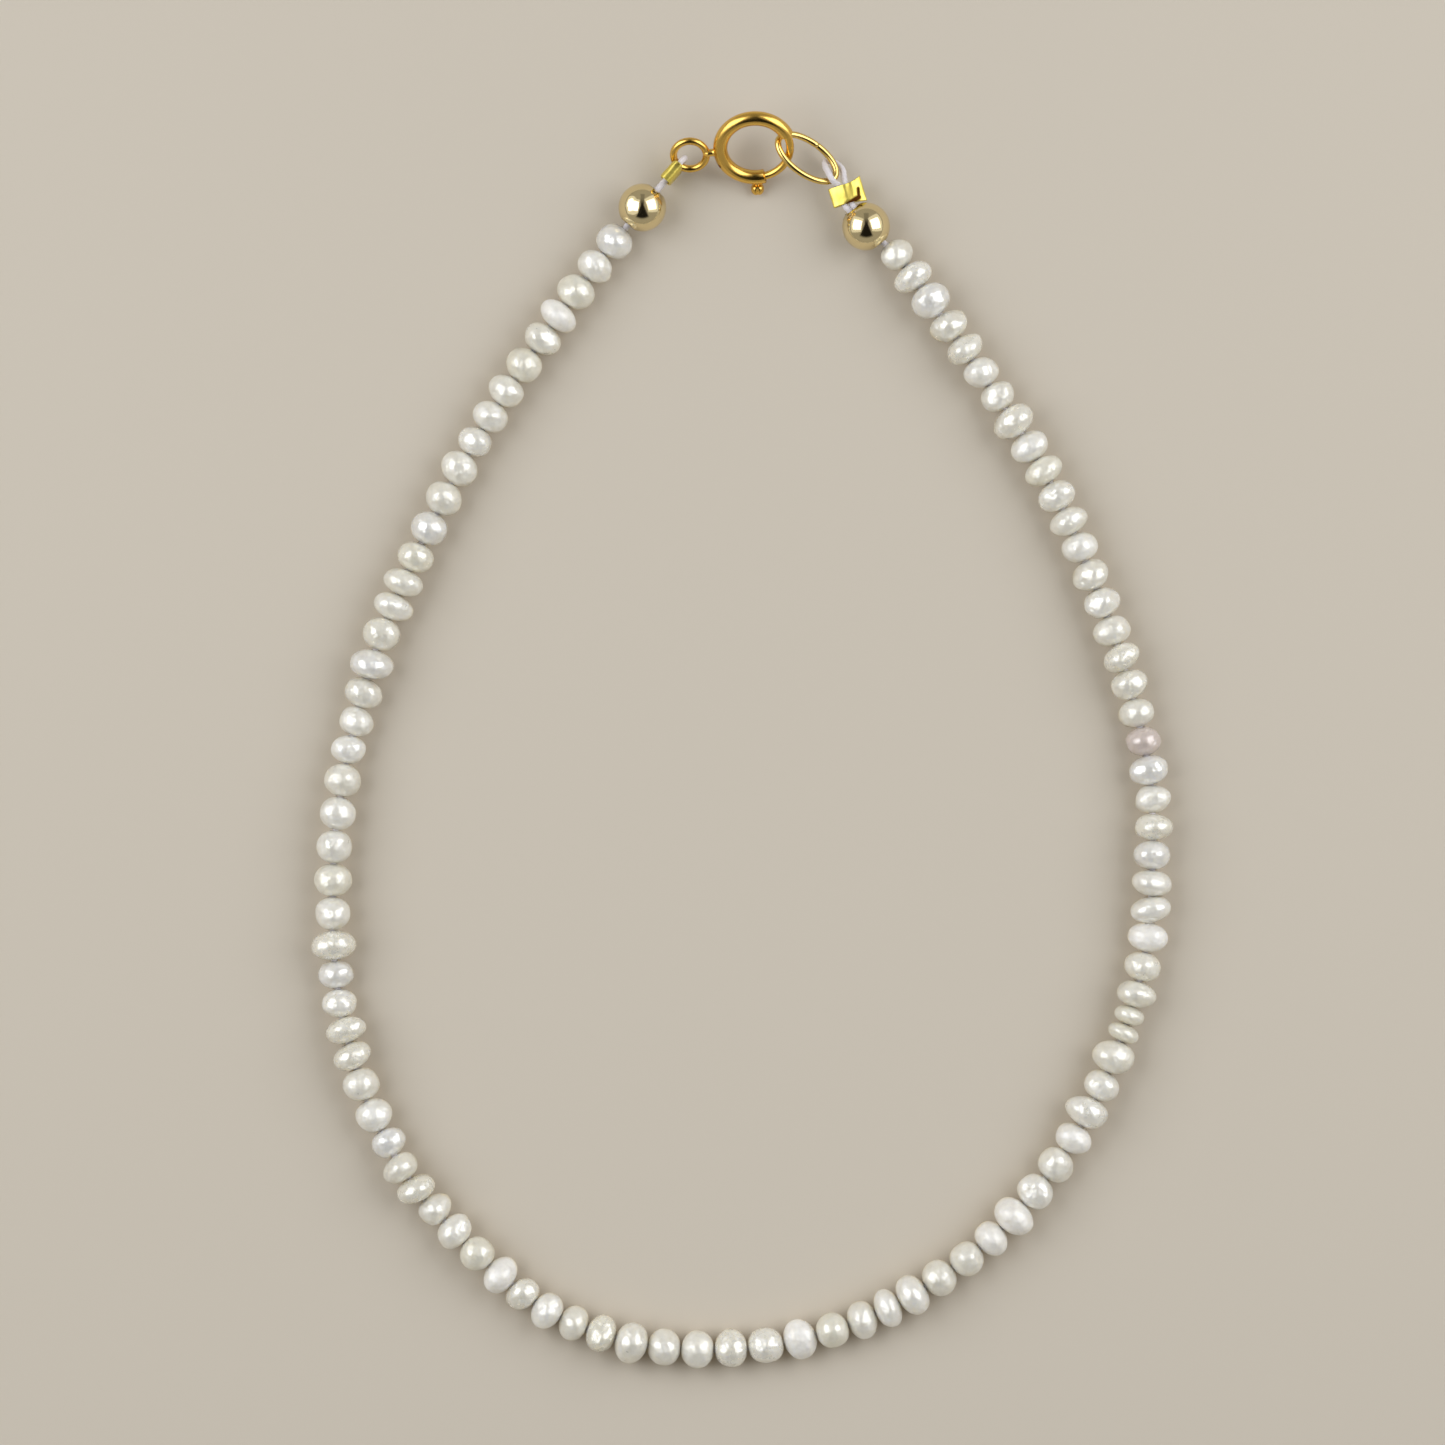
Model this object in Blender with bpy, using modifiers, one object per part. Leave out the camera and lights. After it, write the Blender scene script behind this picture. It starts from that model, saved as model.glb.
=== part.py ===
"""Beaded anklet: a closed loop of small off-round white pearls, lying flat.

A gold ball bead and a squeezed crimp end the row on each side. The thread's left loop holds the
small loop of a spring ring clasp, its right loop holds a jump ring, and the spring ring is
fastened through the jump ring. The trigger of the clasp turns about the spring ring's own axis.

Metres, +Z up. The origin lies on the surface that the anklet rests on, under the middle of its
outline. +Y points to the clasp, +X to the jump ring's side.
"""

import math

import bmesh
import bpy
import numpy as np
from mathutils import Matrix, Vector

# Pearls
PEARL_WIDTH = 0.0031  # across the string
PEARL_SIDES = 10
PEARL_BANDS = 5  # odd, so that the widest band is a flat facet where a pearl rests
PEARL_GAP = 0.00015  # between two pearls' ends, bridged by a neck
BALL_GAP = 0.00025  # between a ball and the pearl beside it

# Each kind of pearl: length along the string and width across it, as shares of a usual pearl.
# The lengths are fitted to the route.
PEARL_KINDS = {
    "o": (1.00, 1.00),  # usual potato shape
    "r": (1.12, 1.00),  # nearly round
    "g": (1.22, 0.98),  # long
    "l": (1.10, 1.12),  # large
    "b": (0.88, 1.08),  # button
    "w": (1.00, 1.17),  # wide button
    "s": (0.97, 0.92),  # small
    "t": (0.62, 0.92),  # thin disc
}
PEARL_ROW = (
    "rorboroosr"
    "rrobbrwoss"
    "rrrrrwssbb"
    "rrsbbsoros"
    "osolrrrgrr"
    "obwrrolrro"
    "wolttboobb"
    "obsossoboo"
    "oobobowsob"
    "olbs"
)

# The row's route in plan, from the left ball to the right one, past the balls' own centres
ROUTE = [
    (-0.0105, 0.0421),
    (-0.0151, 0.0360),
    (-0.0193, 0.0299),
    (-0.0234, 0.0233),
    (-0.0270, 0.0162),
    (-0.0302, 0.0090),
    (-0.0323, 0.0020),
    (-0.0338, -0.0053),
    (-0.0343, -0.0126),
    (-0.0340, -0.0200),
    (-0.0326, -0.0265),
    (-0.0306, -0.0318),
    (-0.0272, -0.0375),
    (-0.0225, -0.0424),
    (-0.0172, -0.0470),
    (-0.0106, -0.0498),
    (-0.0038, -0.0507),
    (0.0040, -0.0500),
    (0.0110, -0.0477),
    (0.0170, -0.0442),
    (0.0218, -0.0402),
    (0.0262, -0.0349),
    (0.0296, -0.0290),
    (0.0321, -0.0228),
    (0.0336, -0.0165),
    (0.0340, -0.0095),
    (0.0338, -0.0030),
    (0.0325, 0.0030),
    (0.0307, 0.0090),
    (0.0279, 0.0162),
    (0.0252, 0.0220),
    (0.0216, 0.0279),
    (0.0172, 0.0342),
    (0.0130, 0.0401),
]

# Ball beads
BALL_RADIUS = 0.0020
BALL_WALL = 0.00025
BALL_BORE = 0.00075  # radius
BALL_SIDES = 14
BALL_OUTER_POINTS = 9  # of the turned profile, from bore edge to bore edge
BALL_INNER_POINTS = 7
BALL_RIGHT = (0.01012, 0.04283)  # centre in plan

# Thread
THREAD_RADIUS = 0.00025
STRAND_OFFSET = 0.0003  # of each of the two strands, from the middle of ball and crimp
THREAD_SIDES = 6  # of a wire, always an even number from 4
STUB_SHOULDER = 0.03  # share of the stub's way over which the end pearl's rim narrows to it

# Crimps, after squeezing: the left one stands on edge, the right one lies flat
CRIMP_WIDTH = 0.00285
CRIMP_THICKNESS = 0.0011
CRIMP_LENGTHS = {"left": 0.00124, "right": 0.0016}  # at the middle
# How much further each edge reaches than the middle, towards the ball and towards the held wire:
# the upper and lower edge of the left crimp, the left and right edge of the right one
CRIMP_FLARES = {
    "left": ((0.00005, 0.00055), (0.00005, 0.00055)),
    "right": ((0.00002, 0.00002), (0.00020, 0.00035)),
}
CRIMP_WALL = 0.0002
CRIMP_SIDES = 16
CRIMP_EDGE_POWER = 0.6  # of cosine and sine round its section: 1 for both is an oval
CRIMP_FLAT_POWER = 0.35
BALL_CLEARANCES = {"left": 0.00096, "right": 0.000325}  # from ball to the crimp's middle
GRIP_CLEARANCE = 0.00014  # to the small loop's wire
MOUTH_DEPTHS = {"left": 0.00035, "right": 0.0}  # inside the crimp, where its strands part
STRAND_SHIFTS = {"left": 0.0, "right": 0.0002}  # of both strands in the crimp, to its left
LEFT_HEADING = math.radians(49.3)  # from ball to clasp
RIGHT_HEADING = math.radians(107.0)  # the right crimp's own axis
RIGHT_BEARING = math.radians(120.0)  # of the right crimp from its ball
RIGHT_RISE = 0.00015  # of the right crimp's middle above its ball's

# Spring ring clasp, drawn flat about its own axis and tilted: angles count from +X towards its
# raised side
CLASP_CENTRE = (0.00088, 0.04925)  # in plan
CLASP_TILT = math.radians(39.5)
CLASP_RADIUS = 0.0029  # to the middle of the tube
TUBE_RADIUS = 0.0006
HOLLOW_RADIUS = 0.00043
TUBE_START = math.radians(27.0)
TUBE_END = math.radians(286.0)
TUBE_SIDES = 12
ARC_STEP = math.radians(11.0)
FLOOR_CLEARANCE = 0.00004

# Small loop soldered to the ring
LOOP_RADIUS = 0.00137  # to the middle of the wire
LOOP_WIRE = 0.00031  # radius
LOOP_ANGLE = math.radians(187.4)
LOOP_GRIP = math.radians(227.0)  # where the thread holds it
NECK_LENGTH = 0.00028
NECK_RADIUS = 0.00034
SMALL_SIDES = 8  # of neck, vent, slot and bolt

# Vent hole in the tube
VENT_ANGLE = math.radians(208.0)
VENT_RISE = math.radians(35.0)
VENT_RADIUS = 0.0002

# Trigger
BOLT_RADIUS = 0.00033
BOLT_START = math.radians(38.0)
BOLT_END = math.radians(-102.0)
LEVER_ANGLE = math.radians(-87.0)
LEVER_SWING = math.radians(50.0)
LEVER_NECK = 0.00022  # radius
KNOB_RADIUS = 0.00055
KNOB_LENGTH = 0.00085
KNOB_CLEARANCE = 0.00015  # above the tube
LEVER_SIDES = 12
SLOT_CLEARANCE = 0.00012

# Jump ring
JUMP_LONG = 0.00283  # half lengths to the middle of the wire
JUMP_SHORT = 0.00146
JUMP_WIRE = 0.000275  # radius
JUMP_BEARING = math.radians(-10.0)  # from the clasp's centre
JUMP_REACH = 0.00134  # how far it reaches inside the clasp's tube
JUMP_DROP = 0.00062  # below the clasp's centre
JUMP_TURN = math.radians(-33.7)  # of its long side in plan
JUMP_PITCH = math.radians(10.0)  # its thread end lies lower
JUMP_TILT = math.radians(-20.0)
JUMP_GRIP = math.radians(8.0)  # where the thread holds it
LINK_POINTS = 16  # round a link
LINK_SIDES = 6  # of its wire

# The thread's loops: points from the wire that they hold, across the thread, along it away from
# the crimp, and up
LEFT_LOOP = [
    (0.00000, -0.00042, 0.00060),
    (0.00000, 0.00004, 0.00078),
    (0.00000, 0.00054, 0.00056),
    (0.00000, 0.00076, 0.00000),
    (0.00000, 0.00054, -0.00062),
    (0.00000, 0.00000, -0.00078),
    (0.00000, -0.00042, -0.00060),
]
RIGHT_LOOP = [
    (-0.00026, -0.00070, 0.00060),
    (-0.00044, -0.00036, 0.00096),
    (-0.00054, 0.00004, 0.00098),
    (-0.00060, 0.00050, 0.00052),
    (-0.00062, 0.00095, -0.00010),
    (-0.00045, 0.00138, -0.00072),
    (0.00005, 0.00128, -0.00098),
    (0.00050, 0.00080, -0.00085),
    (0.00070, 0.00022, -0.00048),
    (0.00060, -0.00040, -0.00012),
]

POINTS_PER_SPAN = 3  # of the threads
ROUTE_POINTS_PER_SPAN = 12


def clear_scene():
    for old in list(bpy.data.objects):
        bpy.data.objects.remove(old, do_unlink=True)
    for old in list(bpy.data.collections):
        bpy.data.collections.remove(old)


def new_collection(name):
    collection = bpy.data.collections.new(name)
    bpy.context.scene.collection.children.link(collection)
    return collection


def material(name, colour, roughness, metallic):
    made = bpy.data.materials.new(name)
    made.use_nodes = True
    shader = made.node_tree.nodes["Principled BSDF"]
    shader.inputs["Base Color"].default_value = (*colour, 1.0)
    shader.inputs["Roughness"].default_value = roughness
    shader.inputs["Metallic"].default_value = metallic
    return made


def add_object(name, data, collection, finish=None):
    made = bpy.data.objects.new(name, data)
    collection.objects.link(made)
    if finish:
        data.materials.append(finish)
    return made


def as_cutter(made, cutters):
    """Hides a shape that only cuts or joins another."""
    for home in list(made.users_collection):
        home.objects.unlink(made)
    cutters.objects.link(made)
    made.hide_render = True
    made.display_type = "WIRE"
    return made


def boolean(target, other, operation):
    change = target.modifiers.new(f"{operation.lower()} {other.name}", "BOOLEAN")
    change.operation = operation
    change.object = other


def smooth_path(points, per_span):
    """A curve through the points: on each span, a cubic whose end slopes come from the points beside it."""
    points = np.asarray(points, float)
    padded = np.vstack([2 * points[0] - points[1], points, 2 * points[-1] - points[-2]])
    share = np.linspace(0.0, 1.0, per_span, endpoint=False)[:, None]
    spans = []
    for before, start, end, after in zip(padded, padded[1:], padded[2:], padded[3:]):
        leave, arrive = (end - before) / 2, (after - start) / 2
        spans.append(
            start
            + share * leave
            + share**2 * (3 * (end - start) - 2 * leave - arrive)
            + share**3 * (2 * (start - end) + leave + arrive)
        )
    return np.vstack([*spans, points[-1:]])


def arc_points(radius, start, end):
    """Points along an arc about +Z, from one angle to another."""
    steps = max(2, round(abs(end - start) / ARC_STEP))
    angles = np.linspace(start, end, steps + 1)
    return np.column_stack([radius * np.cos(angles), radius * np.sin(angles), 0 * angles])


def oval_points(long_side, short_side):
    """Points round an oval about +Z, its long side on X."""
    angles = np.arange(LINK_POINTS) * 2 * math.pi / LINK_POINTS
    return np.column_stack([long_side * np.cos(angles), short_side * np.sin(angles), 0 * angles])


def wire(name, points, radius, sides, collection, finish=None, closed=False):
    """Round wire along the points: 4 sides, and 2 more for each step of bevel resolution."""
    curve = bpy.data.curves.new(name, "CURVE")
    curve.dimensions = "3D"
    curve.bevel_depth = radius
    curve.bevel_resolution = (round(sides) - 4) // 2
    curve.use_fill_caps = not closed
    spline = curve.splines.new("POLY")
    spline.points.add(len(points) - 1)
    for point, place in zip(spline.points, points):
        point.co = (*place, 1.0)
    spline.use_cyclic_u = closed
    return add_object(name, curve, collection, finish)


def weld_to_mesh(curve_object):
    """Turns a curve object into a closed mesh object of the same name and place."""
    bpy.context.view_layer.update()
    ready = curve_object.evaluated_get(bpy.context.evaluated_depsgraph_get())
    mesh = bpy.data.meshes.new_from_object(ready)
    welded = bmesh.new()
    welded.from_mesh(mesh)
    bmesh.ops.remove_doubles(welded, verts=welded.verts, dist=1e-7)
    welded.to_mesh(mesh)
    welded.free()
    name, home = curve_object.name, curve_object.users_collection[0]
    place = curve_object.matrix_world.copy()
    bpy.data.objects.remove(curve_object, do_unlink=True)
    made = bpy.data.objects.new(name, mesh)
    made.matrix_world = place
    home.objects.link(made)
    return made


def turned(name, profile, closed, sides, collection, finish=None):
    """Turns a profile of (radius, height) points, outer side first from top to bottom, about +Z."""
    mesh = bpy.data.meshes.new(name)
    count = len(profile)
    edges = [(i, i + 1) for i in range(count - 1)]
    if closed:
        edges.append((count - 1, 0))
    mesh.from_pydata([(radius, 0.0, height) for radius, height in profile], edges, [])
    made = add_object(name, mesh, collection, finish)
    screw = made.modifiers.new("turn", "SCREW")
    screw.steps = sides
    screw.render_steps = sides
    screw.use_merge_vertices = True
    screw.merge_threshold = 1e-6
    return made


def place_along(made, centre, axis, own_axis, up):
    """Puts an object at a centre with one of its own axes along a direction."""
    turn = Vector(axis).to_track_quat(own_axis, up).to_matrix().to_4x4()
    made.matrix_world = Matrix.Translation(Vector(centre)) @ turn


def clasp_matrix():
    """The clasp's plane: its knob just clears the surface that the anklet lies on."""
    knob_middle = CLASP_RADIUS + TUBE_RADIUS + KNOB_CLEARANCE + KNOB_LENGTH / 2
    knob_reach = math.hypot(
        KNOB_LENGTH / 2 * math.sin(CLASP_TILT), KNOB_RADIUS * math.cos(CLASP_TILT)
    )
    height = knob_middle * math.sin(CLASP_TILT) + knob_reach + FLOOR_CLEARANCE
    return Matrix.Translation((*CLASP_CENTRE, height)) @ Matrix.Rotation(CLASP_TILT, 4, "X")


def small_loop_centre():
    distance = CLASP_RADIUS + TUBE_RADIUS + NECK_LENGTH + LOOP_WIRE + LOOP_RADIUS
    return Vector((distance * math.cos(LOOP_ANGLE), distance * math.sin(LOOP_ANGLE), 0.0))


def jump_matrix():
    """The jump ring's plane, hooked into the clasp from its right."""
    distance = CLASP_RADIUS - JUMP_REACH + JUMP_LONG
    x, y = CLASP_CENTRE
    z = clasp_matrix().translation.z - JUMP_DROP
    centre = (x + distance * math.cos(JUMP_BEARING), y + distance * math.sin(JUMP_BEARING), z)
    turn = Matrix.Rotation(JUMP_TURN, 4, "Z") @ Matrix.Rotation(JUMP_PITCH, 4, "Y")
    return Matrix.Translation(centre) @ turn @ Matrix.Rotation(JUMP_TILT, 4, "X")


def ending(side):
    """One end of the row: the wire that its thread holds, and its crimp's and ball's centres."""
    half_crimp = CRIMP_LENGTHS[side] / 2
    if side == "left":
        heading = Vector((math.cos(LEFT_HEADING), math.sin(LEFT_HEADING), 0.0))
        grip = Vector((math.cos(LOOP_GRIP), math.sin(LOOP_GRIP), 0.0)) * LOOP_RADIUS
        held = clasp_matrix() @ (small_loop_centre() + grip)
        crimp = held - heading * (LOOP_WIRE + GRIP_CLEARANCE + half_crimp)
        ball = crimp - heading * (half_crimp + BALL_CLEARANCES[side] + BALL_RADIUS)
        ball.z = BALL_RADIUS
    else:
        heading = Vector((math.cos(RIGHT_HEADING), math.sin(RIGHT_HEADING), 0.0))
        grip = (JUMP_LONG * math.cos(JUMP_GRIP), JUMP_SHORT * math.sin(JUMP_GRIP), 0.0)
        held = jump_matrix() @ Vector(grip)
        ball = Vector((*BALL_RIGHT, BALL_RADIUS))
        bearing = Vector((math.cos(RIGHT_BEARING), math.sin(RIGHT_BEARING), 0.0))
        crimp = ball + bearing * (BALL_RADIUS + BALL_CLEARANCES[side] + half_crimp)
        crimp.z += RIGHT_RISE
    return held, crimp, ball, heading


def pearl_places():
    """Centre, direction, length and width of each pearl, in order along the route."""
    ball_left, ball_right = ending("left")[2], ending("right")[2]
    route = smooth_path([ball_left.xy, *ROUTE, ball_right.xy], ROUTE_POINTS_PER_SPAN)
    run = np.concatenate([[0.0], np.cumsum(np.linalg.norm(np.diff(route, axis=0), axis=1))])
    shares = np.array([PEARL_KINDS[kind] for kind in PEARL_ROW])
    start, end = BALL_RADIUS + BALL_GAP, run[-1] - BALL_RADIUS - BALL_GAP
    lengths = shares[:, 0] * (end - start) / shares[:, 0].sum()
    middles = start + np.cumsum(lengths) - lengths / 2
    places = []
    for middle, length, width in zip(middles, lengths, shares[:, 1] * PEARL_WIDTH):
        here = [np.interp(middle, run, route[:, axis]) for axis in (0, 1)]
        ahead = [np.interp(middle + length / 2, run, route[:, axis]) for axis in (0, 1)]
        behind = [np.interp(middle - length / 2, run, route[:, axis]) for axis in (0, 1)]
        heading = math.atan2(ahead[1] - behind[1], ahead[0] - behind[0])
        height = width / 2 * math.cos(math.pi / PEARL_SIDES)
        places.append((Vector((*here, height)), heading, length, width))
    return places


def ball_bore(side):
    """The direction in which a ball is drilled, from the pearls to the crimp."""
    _, crimp, ball, _ = ending(side)
    pearl = pearl_places()[0 if side == "left" else -1][0]
    return ((ball - pearl).normalized() + (crimp - ball).normalized()).normalized()


def add_pearl(mesh, centre, heading, length, width):
    """Adds a pearl open at both ends, a flat facet down, and returns its first and last rims."""
    made = bmesh.ops.create_uvsphere(
        mesh, u_segments=PEARL_SIDES, v_segments=PEARL_BANDS + 2, radius=1.0
    )["verts"]
    made.sort(key=lambda vert: vert.co.z)
    poles = [made[0], made[-1]]
    bmesh.ops.delete(mesh, geom=poles, context="VERTS")
    made = [vert for vert in made if vert.is_valid]
    rim_angle = math.pi / (PEARL_BANDS + 2)
    widest = math.sin(rim_angle * (PEARL_BANDS + 1) / 2)
    along = (length - PEARL_GAP) / 2 / math.cos(rim_angle)
    across = width / 2 / widest
    rims = []
    for end in (-1, 1):
        ring = {vert for vert in made if abs(vert.co.z - end * math.cos(rim_angle)) < 1e-4}
        rims.append(list({e for v in ring for e in v.link_edges if e.other_vert(v) in ring}))
    facet_down = Matrix.Rotation(math.pi / PEARL_SIDES, 4, "Z")
    lie_down = Matrix(((0, 0, 1, 0), (1, 0, 0, 0), (0, 1, 0, 0), (0, 0, 0, 1)))
    place = Matrix.Translation(centre) @ Matrix.Rotation(heading, 4, "Z") @ lie_down
    scale = Matrix.Diagonal((across, across, along, 1.0))
    bmesh.ops.transform(mesh, matrix=place @ scale @ facet_down, verts=made)
    return rims


def add_stub(mesh, rim, side):
    """Bridges the end pearl's rim to the thread that enters the ball."""
    middle = sum((v.co for v in {v for e in rim for v in e.verts}), Vector()) / PEARL_SIDES
    inside = ending(side)[2] - ball_bore(side) * 3 * THREAD_RADIUS
    way = inside - middle
    turn = way.to_track_quat("Z", "Y").to_matrix().to_4x4()
    facet_down = Matrix.Rotation(math.pi / PEARL_SIDES, 4, "Z")
    last = rim
    for share in (STUB_SHOULDER, 1.0):
        ring = bmesh.ops.create_circle(
            mesh,
            segments=PEARL_SIDES,
            radius=THREAD_RADIUS,
            matrix=Matrix.Translation(middle + way * share) @ turn @ facet_down,
            cap_ends=share == 1.0,
        )["verts"]
        edges = list({e for v in ring for e in v.link_edges if e.other_vert(v) in ring})
        bmesh.ops.bridge_loops(mesh, edges=last + edges)
        last = edges


def pearl_string(parts, finish):
    """All pearls in one body: neighbours joined by short necks, thread stubs at both ends."""
    places = pearl_places()
    mesh = bmesh.new()
    first_rim = last_rim = None
    for place in places:
        rims = add_pearl(mesh, *place)
        if last_rim:
            bmesh.ops.bridge_loops(mesh, edges=last_rim + rims[0])
        else:
            first_rim = rims[0]
        last_rim = rims[1]
    add_stub(mesh, first_rim, "left")
    add_stub(mesh, last_rim, "right")
    bmesh.ops.recalc_face_normals(mesh, faces=mesh.faces)
    data = bpy.data.meshes.new("pearl_string")
    mesh.to_mesh(data)
    mesh.free()
    return add_object("pearl_string", data, parts, finish)


def ball_bead(side, parts, finish):
    """Hollow ball, drilled through along the thread."""
    inner = BALL_RADIUS - BALL_WALL
    outer_edge = math.asin(BALL_BORE / BALL_RADIUS)
    inner_edge = math.asin(BALL_BORE / inner)
    outer = np.linspace(outer_edge, math.pi - outer_edge, BALL_OUTER_POINTS)
    inwards = np.linspace(math.pi - inner_edge, inner_edge, BALL_INNER_POINTS)
    profile = [(BALL_RADIUS * math.sin(a), BALL_RADIUS * math.cos(a)) for a in outer]
    profile += [(inner * math.sin(a), inner * math.cos(a)) for a in inwards]
    made = turned(f"ball_bead_{side}", profile, True, BALL_SIDES, parts, finish)
    place_along(made, ending(side)[2], ball_bore(side), "Z", "Y")
    return made


def crimp_tube(side, parts, finish):
    """A tube squeezed flat: a flattened oval section, with ends that reach further at its edges."""
    _, crimp, _, heading = ending(side)
    mesh = bmesh.new()
    bmesh.ops.create_cone(
        mesh, cap_ends=False, segments=CRIMP_SIDES, radius1=1.0, radius2=1.0, depth=1.0
    )
    for vert in mesh.verts:
        angle = math.atan2(vert.co.y, vert.co.x) + math.pi / CRIMP_SIDES
        across, over = math.cos(angle), math.sin(angle)
        x = CRIMP_WIDTH / 2 * math.copysign(abs(across) ** CRIMP_EDGE_POWER, across)
        y = CRIMP_THICKNESS / 2 * math.copysign(abs(over) ** CRIMP_FLAT_POWER, over)
        flare = CRIMP_FLARES[side][0 if x > 0 else 1][0 if vert.co.z < 0 else 1]
        reach = CRIMP_LENGTHS[side] / 2 + flare * (2 * x / CRIMP_WIDTH) ** 2
        vert.co = (x, y, math.copysign(reach, vert.co.z))
    bmesh.ops.recalc_face_normals(mesh, faces=mesh.faces)
    data = bpy.data.meshes.new(f"crimp_{side}")
    mesh.to_mesh(data)
    mesh.free()
    made = add_object(f"crimp_{side}", data, parts, finish)
    wall = made.modifiers.new("wall", "SOLIDIFY")
    wall.thickness = CRIMP_WALL
    wall.offset = -1.0
    wall.use_even_offset = True
    place_along(made, crimp, heading, "Z", "Y" if side == "right" else "X")
    return made


def thread_loop(side, loop, parts, finish):
    """The doubled thread from inside the ball, through the crimp, round the wire and back."""
    held, crimp, ball, heading = ending(side)
    up = Vector((0, 0, 1))
    across = heading.cross(up)
    strand = up if side == "left" else -across
    half_crimp = CRIMP_LENGTHS[side] / 2
    middle = crimp - across * STRAND_SHIFTS[side]
    bore = ball_bore(side)
    inside = ball + bore * THREAD_RADIUS
    leaving = ball + bore * (BALL_RADIUS - BALL_WALL)
    mouth = middle + heading * (half_crimp - MOUTH_DEPTHS[side])
    spine = [inside, leaving, middle - heading * half_crimp, mouth]
    way_out = [point + strand * STRAND_OFFSET for point in spine]
    way_back = [point - strand * STRAND_OFFSET for point in reversed(spine)]
    round_wire = [held + across * x + heading * y + up * z for x, y, z in loop]
    points = smooth_path([*way_out, *round_wire, *way_back], POINTS_PER_SPAN)
    return wire(f"thread_{side}", points, THREAD_RADIUS, THREAD_SIDES, parts, finish)


def jump_ring(parts, finish):
    line = oval_points(JUMP_LONG, JUMP_SHORT)
    made = wire("jump_ring", line, JUMP_WIRE, LINK_SIDES, parts, finish, closed=True)
    made.matrix_world = jump_matrix()
    return made


def clasp_ring(plane, parts, cutters, finish):
    """Bent tube with its soldered small loop, cut hollow, with the trigger's slot and a vent."""
    line = arc_points(CLASP_RADIUS, TUBE_START, TUBE_END)
    tube = weld_to_mesh(wire("clasp_ring", line, TUBE_RADIUS, TUBE_SIDES, parts))
    tube.data.materials.append(finish)
    tube.parent = plane

    neck_from = CLASP_RADIUS + (TUBE_RADIUS + HOLLOW_RADIUS) / 2
    neck_to = CLASP_RADIUS + TUBE_RADIUS + NECK_LENGTH + LOOP_WIRE
    out = Vector((math.cos(LOOP_ANGLE), math.sin(LOOP_ANGLE), 0.0))
    neck_line = [out * neck_from, out * neck_to]
    neck = weld_to_mesh(wire("small loop neck", neck_line, NECK_RADIUS, SMALL_SIDES, cutters))
    loop_line = oval_points(LOOP_RADIUS, LOOP_RADIUS) + np.array(small_loop_centre())
    loop = weld_to_mesh(
        wire("small loop", loop_line, LOOP_WIRE, LINK_SIDES, cutters, closed=True)
    )

    past = ARC_STEP / 2
    hollow_line = arc_points(CLASP_RADIUS, TUBE_START - past, TUBE_END + past)
    hollow = weld_to_mesh(wire("tube hollow", hollow_line, HOLLOW_RADIUS, TUBE_SIDES, cutters))
    slot_radius = LEVER_NECK + SLOT_CLEARANCE
    slot_line = arc_points(
        CLASP_RADIUS + (TUBE_RADIUS + HOLLOW_RADIUS) / 2, LEVER_ANGLE, LEVER_ANGLE - LEVER_SWING
    )
    slot = weld_to_mesh(slot_cutter(slot_line, slot_radius, cutters))

    rise = Vector((0, 0, math.sin(VENT_RISE)))
    away = Vector((math.cos(VENT_ANGLE), math.sin(VENT_ANGLE), 0.0))
    aim = away * math.cos(VENT_RISE) + rise
    vent_line = [away * CLASP_RADIUS + aim * reach for reach in (HOLLOW_RADIUS / 2, 2 * TUBE_RADIUS)]
    vent = weld_to_mesh(wire("vent hole", vent_line, VENT_RADIUS, SMALL_SIDES, cutters))

    for other, operation in (
        (neck, "UNION"),
        (loop, "UNION"),
        (hollow, "DIFFERENCE"),
        (slot, "DIFFERENCE"),
        (vent, "DIFFERENCE"),
    ):
        as_cutter(other, cutters).parent = plane
        boolean(tube, other, operation)
    return tube


def slot_cutter(line, radius, cutters):
    """A round-ended path for the lever's neck: the line goes on past both ends by the radius."""
    start = line[0] + (line[0] - line[1]) / np.linalg.norm(line[0] - line[1]) * radius
    end = line[-1] + (line[-1] - line[-2]) / np.linalg.norm(line[-1] - line[-2]) * radius
    return wire("trigger slot", np.vstack([start, line, end]), radius, SMALL_SIDES, cutters)


def clasp_trigger(plane, parts, cutters, finish):
    """Curved bolt with its thumb knob on a turned pin that points away from the ring."""
    line = arc_points(CLASP_RADIUS, BOLT_END, BOLT_START)
    bolt = weld_to_mesh(wire("clasp_trigger", line, BOLT_RADIUS, SMALL_SIDES, parts))
    bolt.data.materials.append(finish)
    bolt.parent = plane

    base = CLASP_RADIUS + TUBE_RADIUS + KNOB_CLEARANCE
    tip = base + KNOB_LENGTH
    rounding = KNOB_LENGTH / 3
    profile = [
        (0.0, tip),
        (KNOB_RADIUS - rounding, tip),
        (KNOB_RADIUS, tip - rounding),
        (KNOB_RADIUS, base + rounding),
        (KNOB_RADIUS - rounding, base),
        (LEVER_NECK, base),
        (LEVER_NECK, CLASP_RADIUS),
        (0.0, CLASP_RADIUS),
    ]
    lever = turned("thumb lever", profile, False, LEVER_SIDES, cutters)
    as_cutter(lever, cutters)
    away = (math.cos(LEVER_ANGLE), math.sin(LEVER_ANGLE), 0.0)
    place_along(lever, (0, 0, 0), away, "Z", "Y")
    lever.parent = plane
    boolean(bolt, lever, "UNION")
    return bolt


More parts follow.
